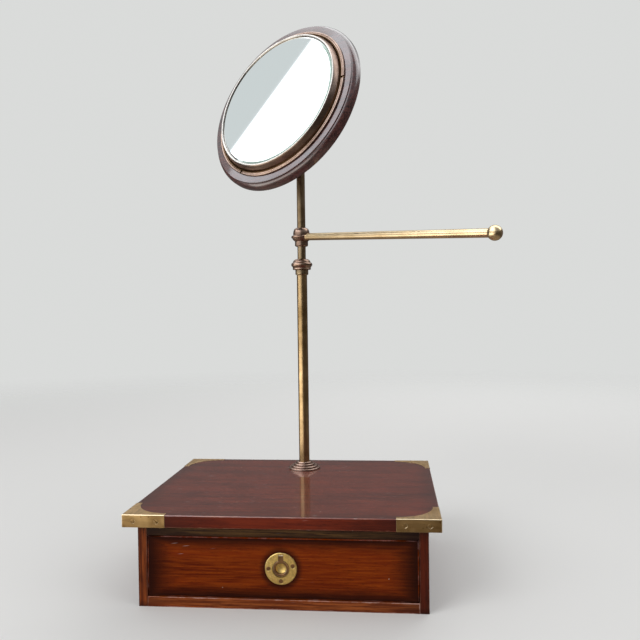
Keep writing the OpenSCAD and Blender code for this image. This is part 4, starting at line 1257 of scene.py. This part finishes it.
@dataclass
class Pole:
    """The fixed pole: its flange, tube and ferrule, the collet, and the nut that clamps the rod."""

    effects: Effects
    board_top: float = 93.0
    tube: Span = (5.5, 6.3)
    tube_top: float = 338.0
    flange_steps: tuple[float, ...] = (19.0, 16.34, 12.54, 9.69)
    tier: float = 2.25
    tier_round: float = 0.45
    ferrule_drop: float = 8.4
    ferrule_height: float = 6.4
    ferrule_bead: Point = (6.9, 1.4, 1.0)
    ferrule_shoulder: Point = (7.4, 5.9, 0.5)
    fine_edge: float = 0.1 * MM
    nut_drop: float = 1.8
    nut_rise: float = 11.2
    nut_bore: float = 6.35
    nut_foot: float = 10.12
    nut_foot_bead: float = 1.1
    nut_bead: Span = (10.2, 6.2)
    nut_bead_radius: float = 2.7
    nut_dome: Span = (6.05, 4.85)
    nut_throat: float = 5.15
    nut_throat_depth: float = 2.4
    cavity: Span = (5.9, 6.4)
    cavity_heights: Span = (1.8, 6.1)
    brass: BrassFinish = BrassFinish("pole_brass", srgb(184, 158, 118), srgb(122, 98, 62), 0.5, 0.28,
                                     specks=0.1, brush=(500.0, 500.0, 18.0), dents=0.015)
    rod: BrassFinish = BrassFinish("rod_brass", srgb(168, 150, 122), srgb(104, 82, 54), 0.5, 0.28, specks=0.1,
                                   brush=(500.0, 500.0, 18.0), dents=0.015)
    nut: BrassFinish = BrassFinish("nut_brass", srgb(160, 136, 120), srgb(92, 68, 56), 0.5, 0.28, specks=0.3,
                                   dents=0.02)
    bright: BrassFinish = BrassFinish("flange_brass", srgb(172, 148, 134), srgb(120, 96, 86), 0.45, 0.32)

    def flange_profile(self) -> Profile:
        """Draws the stepped flange's section.

        Returns:
            The section.
        """
        bore, foot = self.tube[1], self.board_top
        curve = self.tier * self.tier_round
        points = [(bore, foot), (self.flange_steps[0], foot)]
        for i, radius in enumerate(self.flange_steps):
            top = foot + self.tier * (i + 1)
            points += arc(radius - curve, top - curve, curve, 0, 90, 6)
            if i + 1 < len(self.flange_steps):
                points.append((self.flange_steps[i + 1], top))
        return points + [(bore, foot + 4 * self.tier)]

    def ferrule_profile(self) -> Profile:
        """Draws the ferrule's section, with a bead at its foot and a rounded top.

        Returns:
            The section.
        """
        bore, foot = self.tube[1], self.tube_top - self.ferrule_drop
        points = [(bore, foot)]
        for (out, up, radius), start, end in ((self.ferrule_bead, -60, 0), (self.ferrule_shoulder, 0, 90)):
            points += arc(out, foot + up, radius, start, end)
        return points + [(bore, foot + self.ferrule_height)]

    def nut_profile(self) -> Profile:
        """Draws the clamp nut's section, with its beads, its dome and its cavity for the collet.

        Returns:
            The section.
        """
        foot, top = self.tube_top - self.nut_drop, self.tube_top + self.nut_rise
        centre, bead = self.nut_bead[0], foot + self.nut_bead[1]
        (dome, dome_width), dome_foot = self.nut_dome, bead + self.nut_drop
        (mouth, wide), (low, high) = self.cavity, self.cavity_heights
        step = top - self.nut_throat_depth
        points = [(self.nut_bore, foot)]
        points += arc(self.nut_foot, foot + self.nut_foot_bead, self.nut_foot_bead, -90, 60, 8)
        points += arc(centre, bead, self.nut_bead_radius, -55, 75, 14)
        points += oval(dome, dome_foot, dome_width, top - bead - self.nut_drop, 0, 90, 14)
        return points + [(self.nut_throat, top), (self.nut_throat, step), (mouth, step), (wide, foot + high),
                         (wide, foot + low), (self.nut_bore, foot + low)]

    def build(self) -> None:
        """Turns and dresses the pole."""
        axis = pole_axis()
        brass, dark, bright, upper = (
            finish.build(self.effects) for finish in (self.brass, self.nut, self.bright, self.rod))
        tube = plain(*self.tube, self.board_top, self.tube_top)
        finished(axis.part("pole_flange", "stepped_flange", self.flange_profile()), "root", bright)
        finished(axis.part("outer_tube", "pole_tube", tube, edge=self.fine_edge), "root", brass)
        finished(axis.part("tube_ferrule", "pole_ferrule", self.ferrule_profile()), "root", upper)
        finished(axis.part("clamp_nut", "clamping_nut", self.nut_profile()), "clamp_nut", dark)
        for node in ("pole_stud", "stud_washer", "stud_nut", "collet"):
            finished(dressed(node, f"dressed_{node}", self.fine_edge), "root",
                     bpy.data.materials[DULL_BRASS.name])


@dataclass
class Mast:
    """The rod that slides in the pole, with its fork, tilt bolt and knob."""

    effects: Effects
    rod_radius: float = 5.05
    spigot_radius: float = 4.0
    spigot_length: float = 30.8
    rod_foot: float = 268.0
    rod_top: float = 496.0
    edge: float = 0.25 * MM
    fine_edge: float = 0.12 * MM
    rod_edge: float = 0.15 * MM

    def build(self) -> None:
        """Turns and dresses the rod."""
        brass, dull = (bpy.data.materials[name] for name in ("rod_brass", DULL_BRASS.name))
        end = self.rod_foot - self.spigot_length
        rod = [(0.0, end), (self.spigot_radius, end), (self.spigot_radius, self.rod_foot),
               (self.rod_radius, self.rod_foot), (self.rod_radius, self.rod_top), (0.0, self.rod_top)]
        piece = pole_axis().part("inner_rod", "sliding_rod", rod, closed=False, edge=self.rod_edge)
        finished(piece, "mast", brass)
        for node, body in (("rod_fork", "mast"), ("tilt_knob", "tilt_knob")):
            finished(dressed(node, f"dressed_{node}", self.edge), body, brass)
        for node, body in (("rod_guide", "lift"), ("guide_screw", "mast"), ("tilt_bolt", "mast")):
            finished(dressed(node, f"dressed_{node}", self.fine_edge), body, dull)


@dataclass
class SwingArm:
    """The arm with its ball, its collar and its sleeve."""

    effects: Effects
    collar_foot: float = 371.2
    collar_top: float = 386.6
    collar_bore: float = 6.6
    collar_radii: Span = (8.6, 10.4)
    collar_chamfer: float = 1.6
    collar_neck: Span = (10.0, 2.2)
    bead_height: float = 376.1
    bead: Span = (10.8, 1.6)
    dome: Span = (6.95, 3.05)
    dome_foot: float = 3.4
    sleeve_bore: float = 5.1
    sleeve_radii: tuple[float, float, float, float] = (7.0, 8.0, 7.6, 6.55)
    sleeve_drop: float = 6.6
    sleeve_gap: float = 0.2
    sleeve_proud: float = 0.5
    sleeve_chamfers: Span = (1.0, 0.4)
    sleeve_edge: float = 0.1 * MM
    screw_edge: float = 0.15 * MM
    arm_height: float = 376.4
    turn: float = 45.0
    droop: float = 4.0
    arm_radius: float = 4.35
    arm_start: float = 11.5
    tenon: Span = (2.0, 3.0)
    rod_lap: float = 2.0
    ball_at: float = 288.0
    ball_radius: float = 7.25
    brass: BrassFinish = BrassFinish("arm_brass", srgb(206, 184, 146), srgb(186, 160, 118), 0.35, 0.28,
                                     specks=0.08, brush=(40.0, 40.0, 40.0), dents=0.01)

    def collar_profile(self) -> Profile:
        """Draws the collar's section: a chamfered foot, a bead and a dome.

        Returns:
            The section.
        """
        foot, top, bead = self.collar_foot, self.collar_top, self.bead_height
        low, high = self.collar_radii
        points = [(self.collar_bore, foot), (low, foot), (high, foot + self.collar_chamfer)]
        (centre, width), (neck, neck_rise), rise = self.dome, self.collar_neck, self.dome_foot
        points += arc(self.bead[0], bead, self.bead[1], -70, 70, 12) + [(neck, bead + neck_rise)]
        points += oval(centre, bead + rise, width, top - bead - rise, 0, 90, 12)
        return points + [(self.collar_bore, top)]

    def sleeve_profile(self) -> Profile:
        """Draws the slit sleeve's section: a foot that carries the collar, and a thin neck inside it.

        Returns:
            The section.
        """
        foot, top = self.collar_foot - self.sleeve_drop, self.collar_foot - self.sleeve_gap
        end = self.collar_top + self.sleeve_proud
        low, wide, high, neck = self.sleeve_radii
        below, above = self.sleeve_chamfers
        return [(self.sleeve_bore, foot), (low, foot), (wide, foot + below), (wide, top - above), (high, top),
                (neck, top), (neck, end), (self.sleeve_bore, end)]

    def build(self) -> None:
        """Turns and dresses the arm."""
        axis, brass = pole_axis(), self.brass.build(self.effects)
        nut, dull = (bpy.data.materials[name] for name in ("nut_brass", DULL_BRASS.name))
        lean = Euler((0.0, math.radians(90 + self.droop), math.radians(-self.turn)))
        way = Matrix.Translation((0.0, middle_of("outer_tube").y, self.arm_height * MM))
        arm = Turnery(way @ lean.to_matrix().to_4x4())
        radius, start, end = self.arm_radius, self.arm_start, self.ball_at
        slim, tenon = self.tenon
        rod = [(0.0, start - tenon), (slim, start - tenon), (slim, start), (radius, start),
               (radius, end - self.rod_lap), (0.0, end - self.rod_lap)]
        reach = math.degrees(math.asin(radius / self.ball_radius))
        ball = [(0.0, end - tenon), (radius, end - tenon)]
        ball += arc(0.0, end, self.ball_radius, reach - 90.0, 90.0, 32)[:-1] + [(0.0, end + self.ball_radius)]
        for piece, body, slot, material in (
                (axis.part("arm_sleeve", "collar_sleeve", self.sleeve_profile(), edge=self.sleeve_edge),
                 "arm_slide", "brass", nut),
                (axis.part("arm_collar", "arm_collar_turned", self.collar_profile()), "arm", "brass", nut),
                (arm.part("arm_rod", "arm_bar", rod, closed=False), "arm", "brass", brass),
                (arm.part("arm_ball", "arm_end_ball", ball, closed=False), "arm", "brass", brass),
                (dressed("arm_thumbscrew", "collar_thumbscrew", self.screw_edge), "arm_screw",
                 "dark_brass", dull)):
            finished(piece, body, material)


@dataclass
class MirrorHead:
    """The mirror in its turned frame, with its back board and bracket."""

    effects: Effects
    face_up: float = 19.8
    frame_back: float = 22.0
    frame_face: float = 38.0
    frame_radius: float = 107.0
    frame_bore: float = 74.0
    back_radius: float = 95.5
    back_thick: float = 8.0
    back_edge: float = 0.6 * MM
    back_cove: float = 3.0
    cove_lip: float = 1.0
    cove_top: float = 3.8
    moulding: float = 4.2
    moulding_height: float = 7.0
    moulding_drop: float = 8.4
    moulding_reach: float = 1.6
    band_edge: float = 0.6
    drum_bore: float = 84.5
    rim_radius: float = 86.0
    reeds_radius: float = 94.5
    reed: float = 1.2
    reed_lap: float = 0.3
    cove_foot: float = 0.8
    cove_height: float = 3.2
    wall_slope: float = 2.4
    rim: float = 47.5
    rim_round: float = 0.5
    rim_step: Span = (0.4, 2.0)
    lip_bead: float = 0.6
    lip_roll: float = 1.1
    glass_face: float = 46.8
    glass_thick: float = 3.2
    glass_gap: float = 0.3
    bevel_inner: float = 81.2
    bevel_depth: float = 0.7
    lip_cover: float = 1.2
    felt_face: float = 43.6
    felt_back: float = 42.8
    notch: Point = (5.0, 3.0, 2.4)
    notch_radius: float = 92.5
    notch_height: float = 2.0
    pin_angles: tuple[float, ...] = (8.0, 128.0, 248.0)
    pin_radius: float = 1.2
    pin_dome: float = 0.8
    pin_shank: float = 1.0
    screw_ring: float = 15.5
    screw_sink: float = 2.0
    screw_angles: tuple[Span, ...] = ((45.0, 35.0), (135.0, 115.0), (225.0, 195.0), (315.0, 275.0))
    screw_radius: float = 2.2 * MM
    bracket_edge: float = 0.25 * MM
    fine: int = 192
    place: Matrix = field(init=False)

    def __post_init__(self) -> None:
        """Works out the head's own frame from the tilt joint."""
        tilt = next(joint for joint in frame["joints"] if joint["name"] == "head_tilt")
        lean = Euler((math.radians(90 - self.face_up), 0.0, math.atan2(tilt["axis"][1], tilt["axis"][0])))
        self.place = Matrix.Translation(Vector(tilt["pos_m"])) @ lean.to_matrix().to_4x4()

    def ring_profile(self) -> Profile:
        """Draws the wooden ring's section: a cove at the back, a moulding at the front and a flat band.

        Returns:
            The section.
        """
        back, face, outer = self.frame_back, self.frame_face, self.frame_radius
        seat_depth, shoulder = back + self.back_thick, face - self.moulding_drop
        points = [(self.frame_bore, seat_depth), (self.back_radius, seat_depth), (self.back_radius, back),
                  (outer - self.cove_lip - self.back_cove, back)]
        points += arc(outer - self.cove_lip, back, self.back_cove, 180, 90, 10)
        points += [(outer, back + self.cove_top), (outer, shoulder)]
        band, edge = outer - self.moulding, self.band_edge
        reach = self.moulding_reach
        points += oval(band - reach, shoulder, self.moulding + reach, self.moulding_height, 0, 74, 16)
        points += [(band, face - edge)] + arc(band - edge, face - edge, edge, 0, 90, 5)
        return points + [(self.frame_bore, face)]

    def drum_profile(self) -> Profile:
        """Draws the brass drum's section: two reeds at its foot, a cove and a wall that narrows to the rim.

        Returns:
            The section.
        """
        foot, reed, cove_height = self.frame_face, self.reed, self.cove_height
        outer = self.reeds_radius - reed
        inner = outer - 2 * reed + self.reed_lap
        cove = inner - reed - (self.rim_radius + self.wall_slope)
        points = [(self.drum_bore, foot), (outer, foot)] + arc(outer, foot + reed, reed, -90, 140, 12)
        points += arc(inner, foot + reed, reed, 40, 180, 10)
        points += oval(inner - reed, foot + self.cove_foot + cove_height, cove, cove_height, 270, 180, 16)
        radius, rim, bend, (out, down) = self.rim_radius, self.rim, self.rim_round, self.rim_step
        points += [(radius + out, rim - down), (radius, rim - bend)]
        return points + [(radius - bend, rim), (self.drum_bore, rim)]

    def lip_profile(self) -> Profile:
        """Draws the thin lip that holds the glass.

        Returns:
            The section.
        """
        inner, bore, rim, face = self.drum_bore - self.lip_cover, self.drum_bore, self.rim, self.glass_face
        roll, bend, outer = self.lip_roll, self.rim_round, self.rim_radius
        points = [(inner, face), (bore, face), (bore, rim), (outer - bend, rim)]
        points += arc(outer - roll, rim, self.lip_bead, 0, 90, 6)
        return points + arc(inner + roll, rim - bend, roll, 90, 180, 8)

    def glass_profile(self) -> Profile:
        """Draws the bevelled glass's section.

        Returns:
            The section.
        """
        edge, top, foot = self.drum_bore - self.glass_gap, self.glass_face, self.glass_face - self.glass_thick
        return [(0.0, foot), (edge, foot), (edge, top - self.bevel_depth), (self.bevel_inner, top),
                (0.0, top)]

    def notched_drum(self) -> Piece:
        """Turns the drum, cuts the notches for its fixing pins and seats it.

        Returns:
            The drum.
        """
        drum = Turnery(Matrix.Identity(4)).part("drum", "brass_drum", self.drum_profile(), segments=self.fine)
        size = tuple(side * MM for side in self.notch)
        for angle in self.pin_angles:
            tool = block(size, (self.notch_radius * MM, 0.0, (self.frame_face + self.notch_height) * MM))
            cut(drum, seat(tool, spin(angle)))
        return smooth(seat(drum, self.place))

    def pins(self) -> Piece:
        """Turns the round-headed fixing pins.

        Returns:
            The pins in one piece.
        """
        radius, dome = self.pin_radius, self.pin_dome
        low, high = self.frame_face - self.pin_shank, self.frame_face + self.pin_shank
        section = [(0.0, low), (radius, low), (radius, high)]
        section += oval(0.0, high, radius, dome, 0, 90, 6)[1:-1] + [(0.0, high + dome)]
        pattern = turned("pin_pattern", [(r * MM, z * MM) for r, z in section], 20)
        ring = Matrix.Translation(((self.reeds_radius - self.reed) * MM, 0, 0))
        places = [self.place @ spin(angle) @ ring for angle in self.pin_angles]
        pins = repeated("drum_fixing_pins", pattern, places)
        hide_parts("drum_pins")
        return pins

    def back_screws(self) -> Piece:
        """Places the bracket's four screws, each with its slot turned another way.

        Returns:
            The screws in one piece.
        """
        out = Matrix.Translation((self.screw_ring * MM, 0, (self.frame_back - self.screw_sink) * MM))
        places = [self.place @ spin(angle) @ out @ spin(slot) @ spin(180.0, "X")
                  for angle, slot in self.screw_angles]
        screws = repeated("bracket_screw_heads", ScrewHead(self.screw_radius).pattern(), places)
        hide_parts("bracket_screws")
        return screws

    def materials(self) -> dict[str, Material]:
        """Builds the head's finishes.

        Returns:
            The materials by their part.
        """
        place, effects = self.place, self.effects
        return {
            "ring": WoodFinish("frame_mahogany", *shades((30, 13, 14), (58, 28, 28), (92, 52, 46)), shift=3.1,
                               rough=0.35, coat_rough=0.06).build(effects, place),
            "backing": WoodFinish("backing_mahogany", *shades((44, 20, 14), (76, 38, 26), (102, 58, 40)),
                                  shift=4.2, rough=0.42, coat=0.5).build(effects, place),
            "drum": BrassFinish("drum_brass", srgb(148, 128, 116), srgb(112, 92, 80), 0.4, 0.28, specks=0.1,
                                dents=0.015, hollow=(88.5 * MM, 91.6 * MM)).build(effects, place),
            "lip": BrassFinish("lip_brass", srgb(172, 168, 162), srgb(140, 134, 126), 0.3, 0.29, specks=0.0,
                               dents=0.01).build(effects),
            "felt": FeltFinish("pad_felt", srgb(48, 74, 58)).build(),
            "glass": GlassFinish("silvered_glass", (0.86, 0.89, 0.88), srgb(96, 108, 100),
                                 (79.8 * MM, 80.4 * MM)).build(place)}

    def build(self) -> None:
        """Turns and dresses the head."""
        made = self.materials()
        pale, dull, pole = (bpy.data.materials[n] for n in (PALE_WOOD.name, DULL_BRASS.name, "pole_brass"))
        axis = Turnery(self.place)
        edge = self.drum_bore - self.glass_gap
        disc = plain(0.0, self.back_radius, self.frame_back, self.frame_back + self.back_thick)
        pack = plain(0.0, edge, self.frame_face, self.felt_back)
        felt = plain(0.0, edge, self.felt_back, self.felt_face)
        for piece, slot, material in (
                (self.notched_drum(), "brass", made["drum"]),
                (axis.part("frame_ring", "turned_ring", self.ring_profile(), segments=self.fine), "dark_wood",
                 made["ring"]),
                (axis.part("back_board", "backing_board", disc, False, self.back_edge), "dark_wood",
                 made["backing"]),
                (axis.part("packing_disc", "packing_wood", pack, False), "pale_wood", pale),
                (axis.part("felt_pad", "felt_disc", felt, False), "felt", made["felt"]),
                (smooth(axis.part("mirror_glass", "silvered_disc", self.glass_profile(), False,
                                  segments=self.fine), 5.0), "mirror", made["glass"]),
                (axis.part("glass_lip", "glass_retaining_lip", self.lip_profile(), segments=self.fine),
                 "brass", made["lip"]),
                (dressed("back_bracket", "bracket_casting", self.bracket_edge), "brass", pole),
                (self.pins(), "dark_brass", dull),
                (self.back_screws(), "dark_brass", dull)):
            finished(piece, "head", material)


@dataclass
class Studio:
    """The pale floor, the soft light and the camera. Gloss sees a room of its own."""

    floor_radius: float = 6.0
    fade: Span = (0.9, 2.6)
    gloss_fade: Span = (0.4, 0.9)
    floor_side: Span = (-0.6, 0.1)
    floor_wall: Span = (0.0, 0.3)
    lamps: tuple[tuple[str, Point, float, float], ...] = (
        ("key", (-1.5, -1.7, 1.7), 1.6, 26.0),
        ("fill", (1.7, -1.0, 0.9), 1.6, 9.0),
        ("back_fill", (0.6, 1.8, 1.5), 1.8, 12.0))
    lens: float = 40.5
    sensor: float = 36.0
    clip: float = 0.01
    eye: Point = (0.108, -0.7947, 0.2912)
    yaw: float = 5.65
    pitch: float = 1.08
    roll: float = -0.75
    aim: Point = (0.0, 0.0, 0.3)
    background: Colour = (0.70, 0.71, 0.70)
    floor_colour: Colour = (0.78, 0.78, 0.77)
    ambient: Colour = (0.58, 0.58, 0.58)
    ground: Colour = (0.32, 0.27, 0.22)
    sunny_ground: Colour = (4.0, 3.8, 3.5)
    shady_ground: Colour = (0.08, 0.07, 0.06)
    sky: Colour = (4.0, 4.1, 4.3)
    dim_sky: Colour = (0.45, 0.47, 0.5)
    back_sky: Colour = (3.0, 3.05, 3.1)
    left_side: Colour = (0.9, 0.89, 0.88)
    right_side: Colour = (0.11, 0.095, 0.08)
    wall_low: Colour = (0.15, 0.13, 0.125)
    wall_high: Colour = (0.68, 0.72, 0.73)
    wall_far: Colour = (0.26, 0.26, 0.27)
    horizon_band: Span = (-0.65, 0.2)
    sky_band: Span = (-0.45, 0.1)
    sky_rise: Span = (0.22, 0.5)
    gap_band: Span = (-0.66, -0.6)
    gap_depth: Span = (0.5, 0.75)
    wall_rise: Span = (0.38, 0.54)
    far_band: Span = (0.72, 0.86)
    wall_lean: Point = (0.116, 1.0, 0.029)
    wall_edge: Span = (-0.004, 0.004)

    def build(self) -> None:
        """Makes the floor, the world, the lamps and the camera."""
        self.make_floor()
        self.make_world()
        for lamp in self.lamps:
            self.make_lamp(*lamp)
        self.make_camera()
        bpy.context.scene.view_settings.view_transform = "Standard"

    def make_floor(self) -> None:
        """Makes a round pale floor that fades out into the background; reflections see it glow as a staged
        ground, dim close by, bright to the left and dark to the right and behind.
        """
        bpy.ops.object.select_all(action="DESELECT")
        bpy.ops.mesh.primitive_circle_add(vertices=96, radius=self.floor_radius, fill_type="NGON")
        floor = bpy.context.active_object
        floor.name = "floor"
        material, graph, local = new_material("pale_floor")
        away = graph.vector("LENGTH", local)
        side = graph.over(graph.part(local, "X"), graph.plus(away, MM))
        far = graph.mix(graph.spread(side, *self.floor_side), self.sunny_ground, self.shady_ground)
        far = graph.mix(graph.spread(graph.part(local, "Y"), *self.floor_wall), far, self.wall_low)
        gloss = graph.mix(graph.spread(away, *self.gloss_fade), self.ground, far)
        paper = graph.node("BsdfDiffuse", {"Color": self.floor_colour}).outputs[0]
        clear = graph.node("BsdfTransparent").outputs[0]
        seen = graph.node("MixShader", {0: graph.spread(away, *self.fade), 1: paper, 2: clear}).outputs[0]
        # Glossy rays see the floor glow: a staged ground that lights reflections, bright to the left.
        glow = graph.node("Emission", {"Color": gloss}).outputs[0]
        glossy = graph.node("LightPath").outputs["Is Glossy Ray"]
        both = graph.node("MixShader", {0: glossy, 1: seen, 2: glow}).outputs[0]
        graph.node("OutputMaterial", {"Surface": both})
        floor.data.materials.append(material)

    def make_world(self) -> None:
        """Lights the object evenly, and shows gloss a wall behind, a sky above and a dark right side."""
        world = bpy.data.worlds.new("studio")
        world.use_nodes = True
        bpy.context.scene.world = world
        graph = Graph(world.node_tree)
        way = graph.node("TexCoord").outputs["Generated"]
        x, y, z = (graph.part(way, axis) for axis in "XYZ")
        horizon = graph.mix(graph.spread(x, *self.horizon_band), self.left_side, self.right_side)
        above = graph.mix(graph.spread(x, *self.sky_band), self.sky, self.dim_sky)
        front = graph.mix(graph.spread(z, *self.sky_rise), horizon, above)
        overhead = graph.times(graph.spread(x, *self.gap_band), graph.spread(y, *self.gap_depth, 1.0, 0.0))
        open_air = graph.mix(overhead, self.wall_high, self.back_sky)
        behind = graph.mix(graph.spread(y, *self.far_band), open_air, self.wall_far)
        wall = graph.mix(graph.spread(z, *self.wall_rise), self.wall_low, behind)
        past = graph.vector("DOT_PRODUCT", way, self.wall_lean)
        room = graph.mix(graph.spread(past, *self.wall_edge), front, wall)
        path = graph.node("LightPath")
        lit = graph.mix(path.outputs["Is Glossy Ray"], self.ambient, room)
        seen = graph.mix(path.outputs["Is Camera Ray"], lit, self.background)
        lamp = graph.node("Background", {"Color": seen, "Strength": 1.0})
        graph.node("OutputWorld", {"Surface": lamp.outputs[0]})

    def make_lamp(self, name: str, place: Point, size: float, power: float) -> None:
        """Adds a square soft box that points at the object.

        Args:
            name: The lamp's name.
            place: Where it stands.
            size: Its side.
            power: Its power in watts.
        """
        bpy.ops.object.light_add(type="AREA", location=place)
        lamp = bpy.context.active_object
        lamp.name = name
        lamp.visible_glossy = False
        lamp.data.size = size
        lamp.data.energy = power
        lamp.rotation_euler = (Vector(self.aim) - Vector(place)).to_track_quat("-Z", "Y").to_euler()

    def make_camera(self) -> None:
        """Makes the camera at the photograph's viewing angle."""
        yaw, pitch = math.radians(self.yaw), math.radians(self.pitch)
        ahead = Vector((-math.sin(yaw) * math.cos(pitch), math.cos(yaw) * math.cos(pitch), -math.sin(pitch)))
        level = Vector((math.cos(yaw), math.sin(yaw), 0.0))
        right = Matrix.Rotation(math.radians(-self.roll), 3, ahead) @ level
        bpy.ops.object.camera_add(location=self.eye)
        camera = bpy.context.active_object
        camera.rotation_euler = Matrix((right, right.cross(ahead), -ahead)).transposed().to_euler()
        camera.data.lens = self.lens
        camera.data.sensor_width = self.sensor
        camera.data.clip_start = self.clip
        bpy.context.scene.camera = camera


def main() -> None:
    """Builds the studio and dresses each sub-assembly in order."""
    logging.basicConfig(level=logging.INFO, format="%(name)s: %(message)s")
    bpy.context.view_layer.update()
    effects = Effects()
    DULL_BRASS.build(effects)
    Studio().build()
    for part in (BoxCase, CornerBrasses, Drawer, Pole, Mast, SwingArm, MirrorHead):
        LOG.info("dressing %s", part.__name__)
        part(effects).build()


if __name__ == "__main__":
    main()
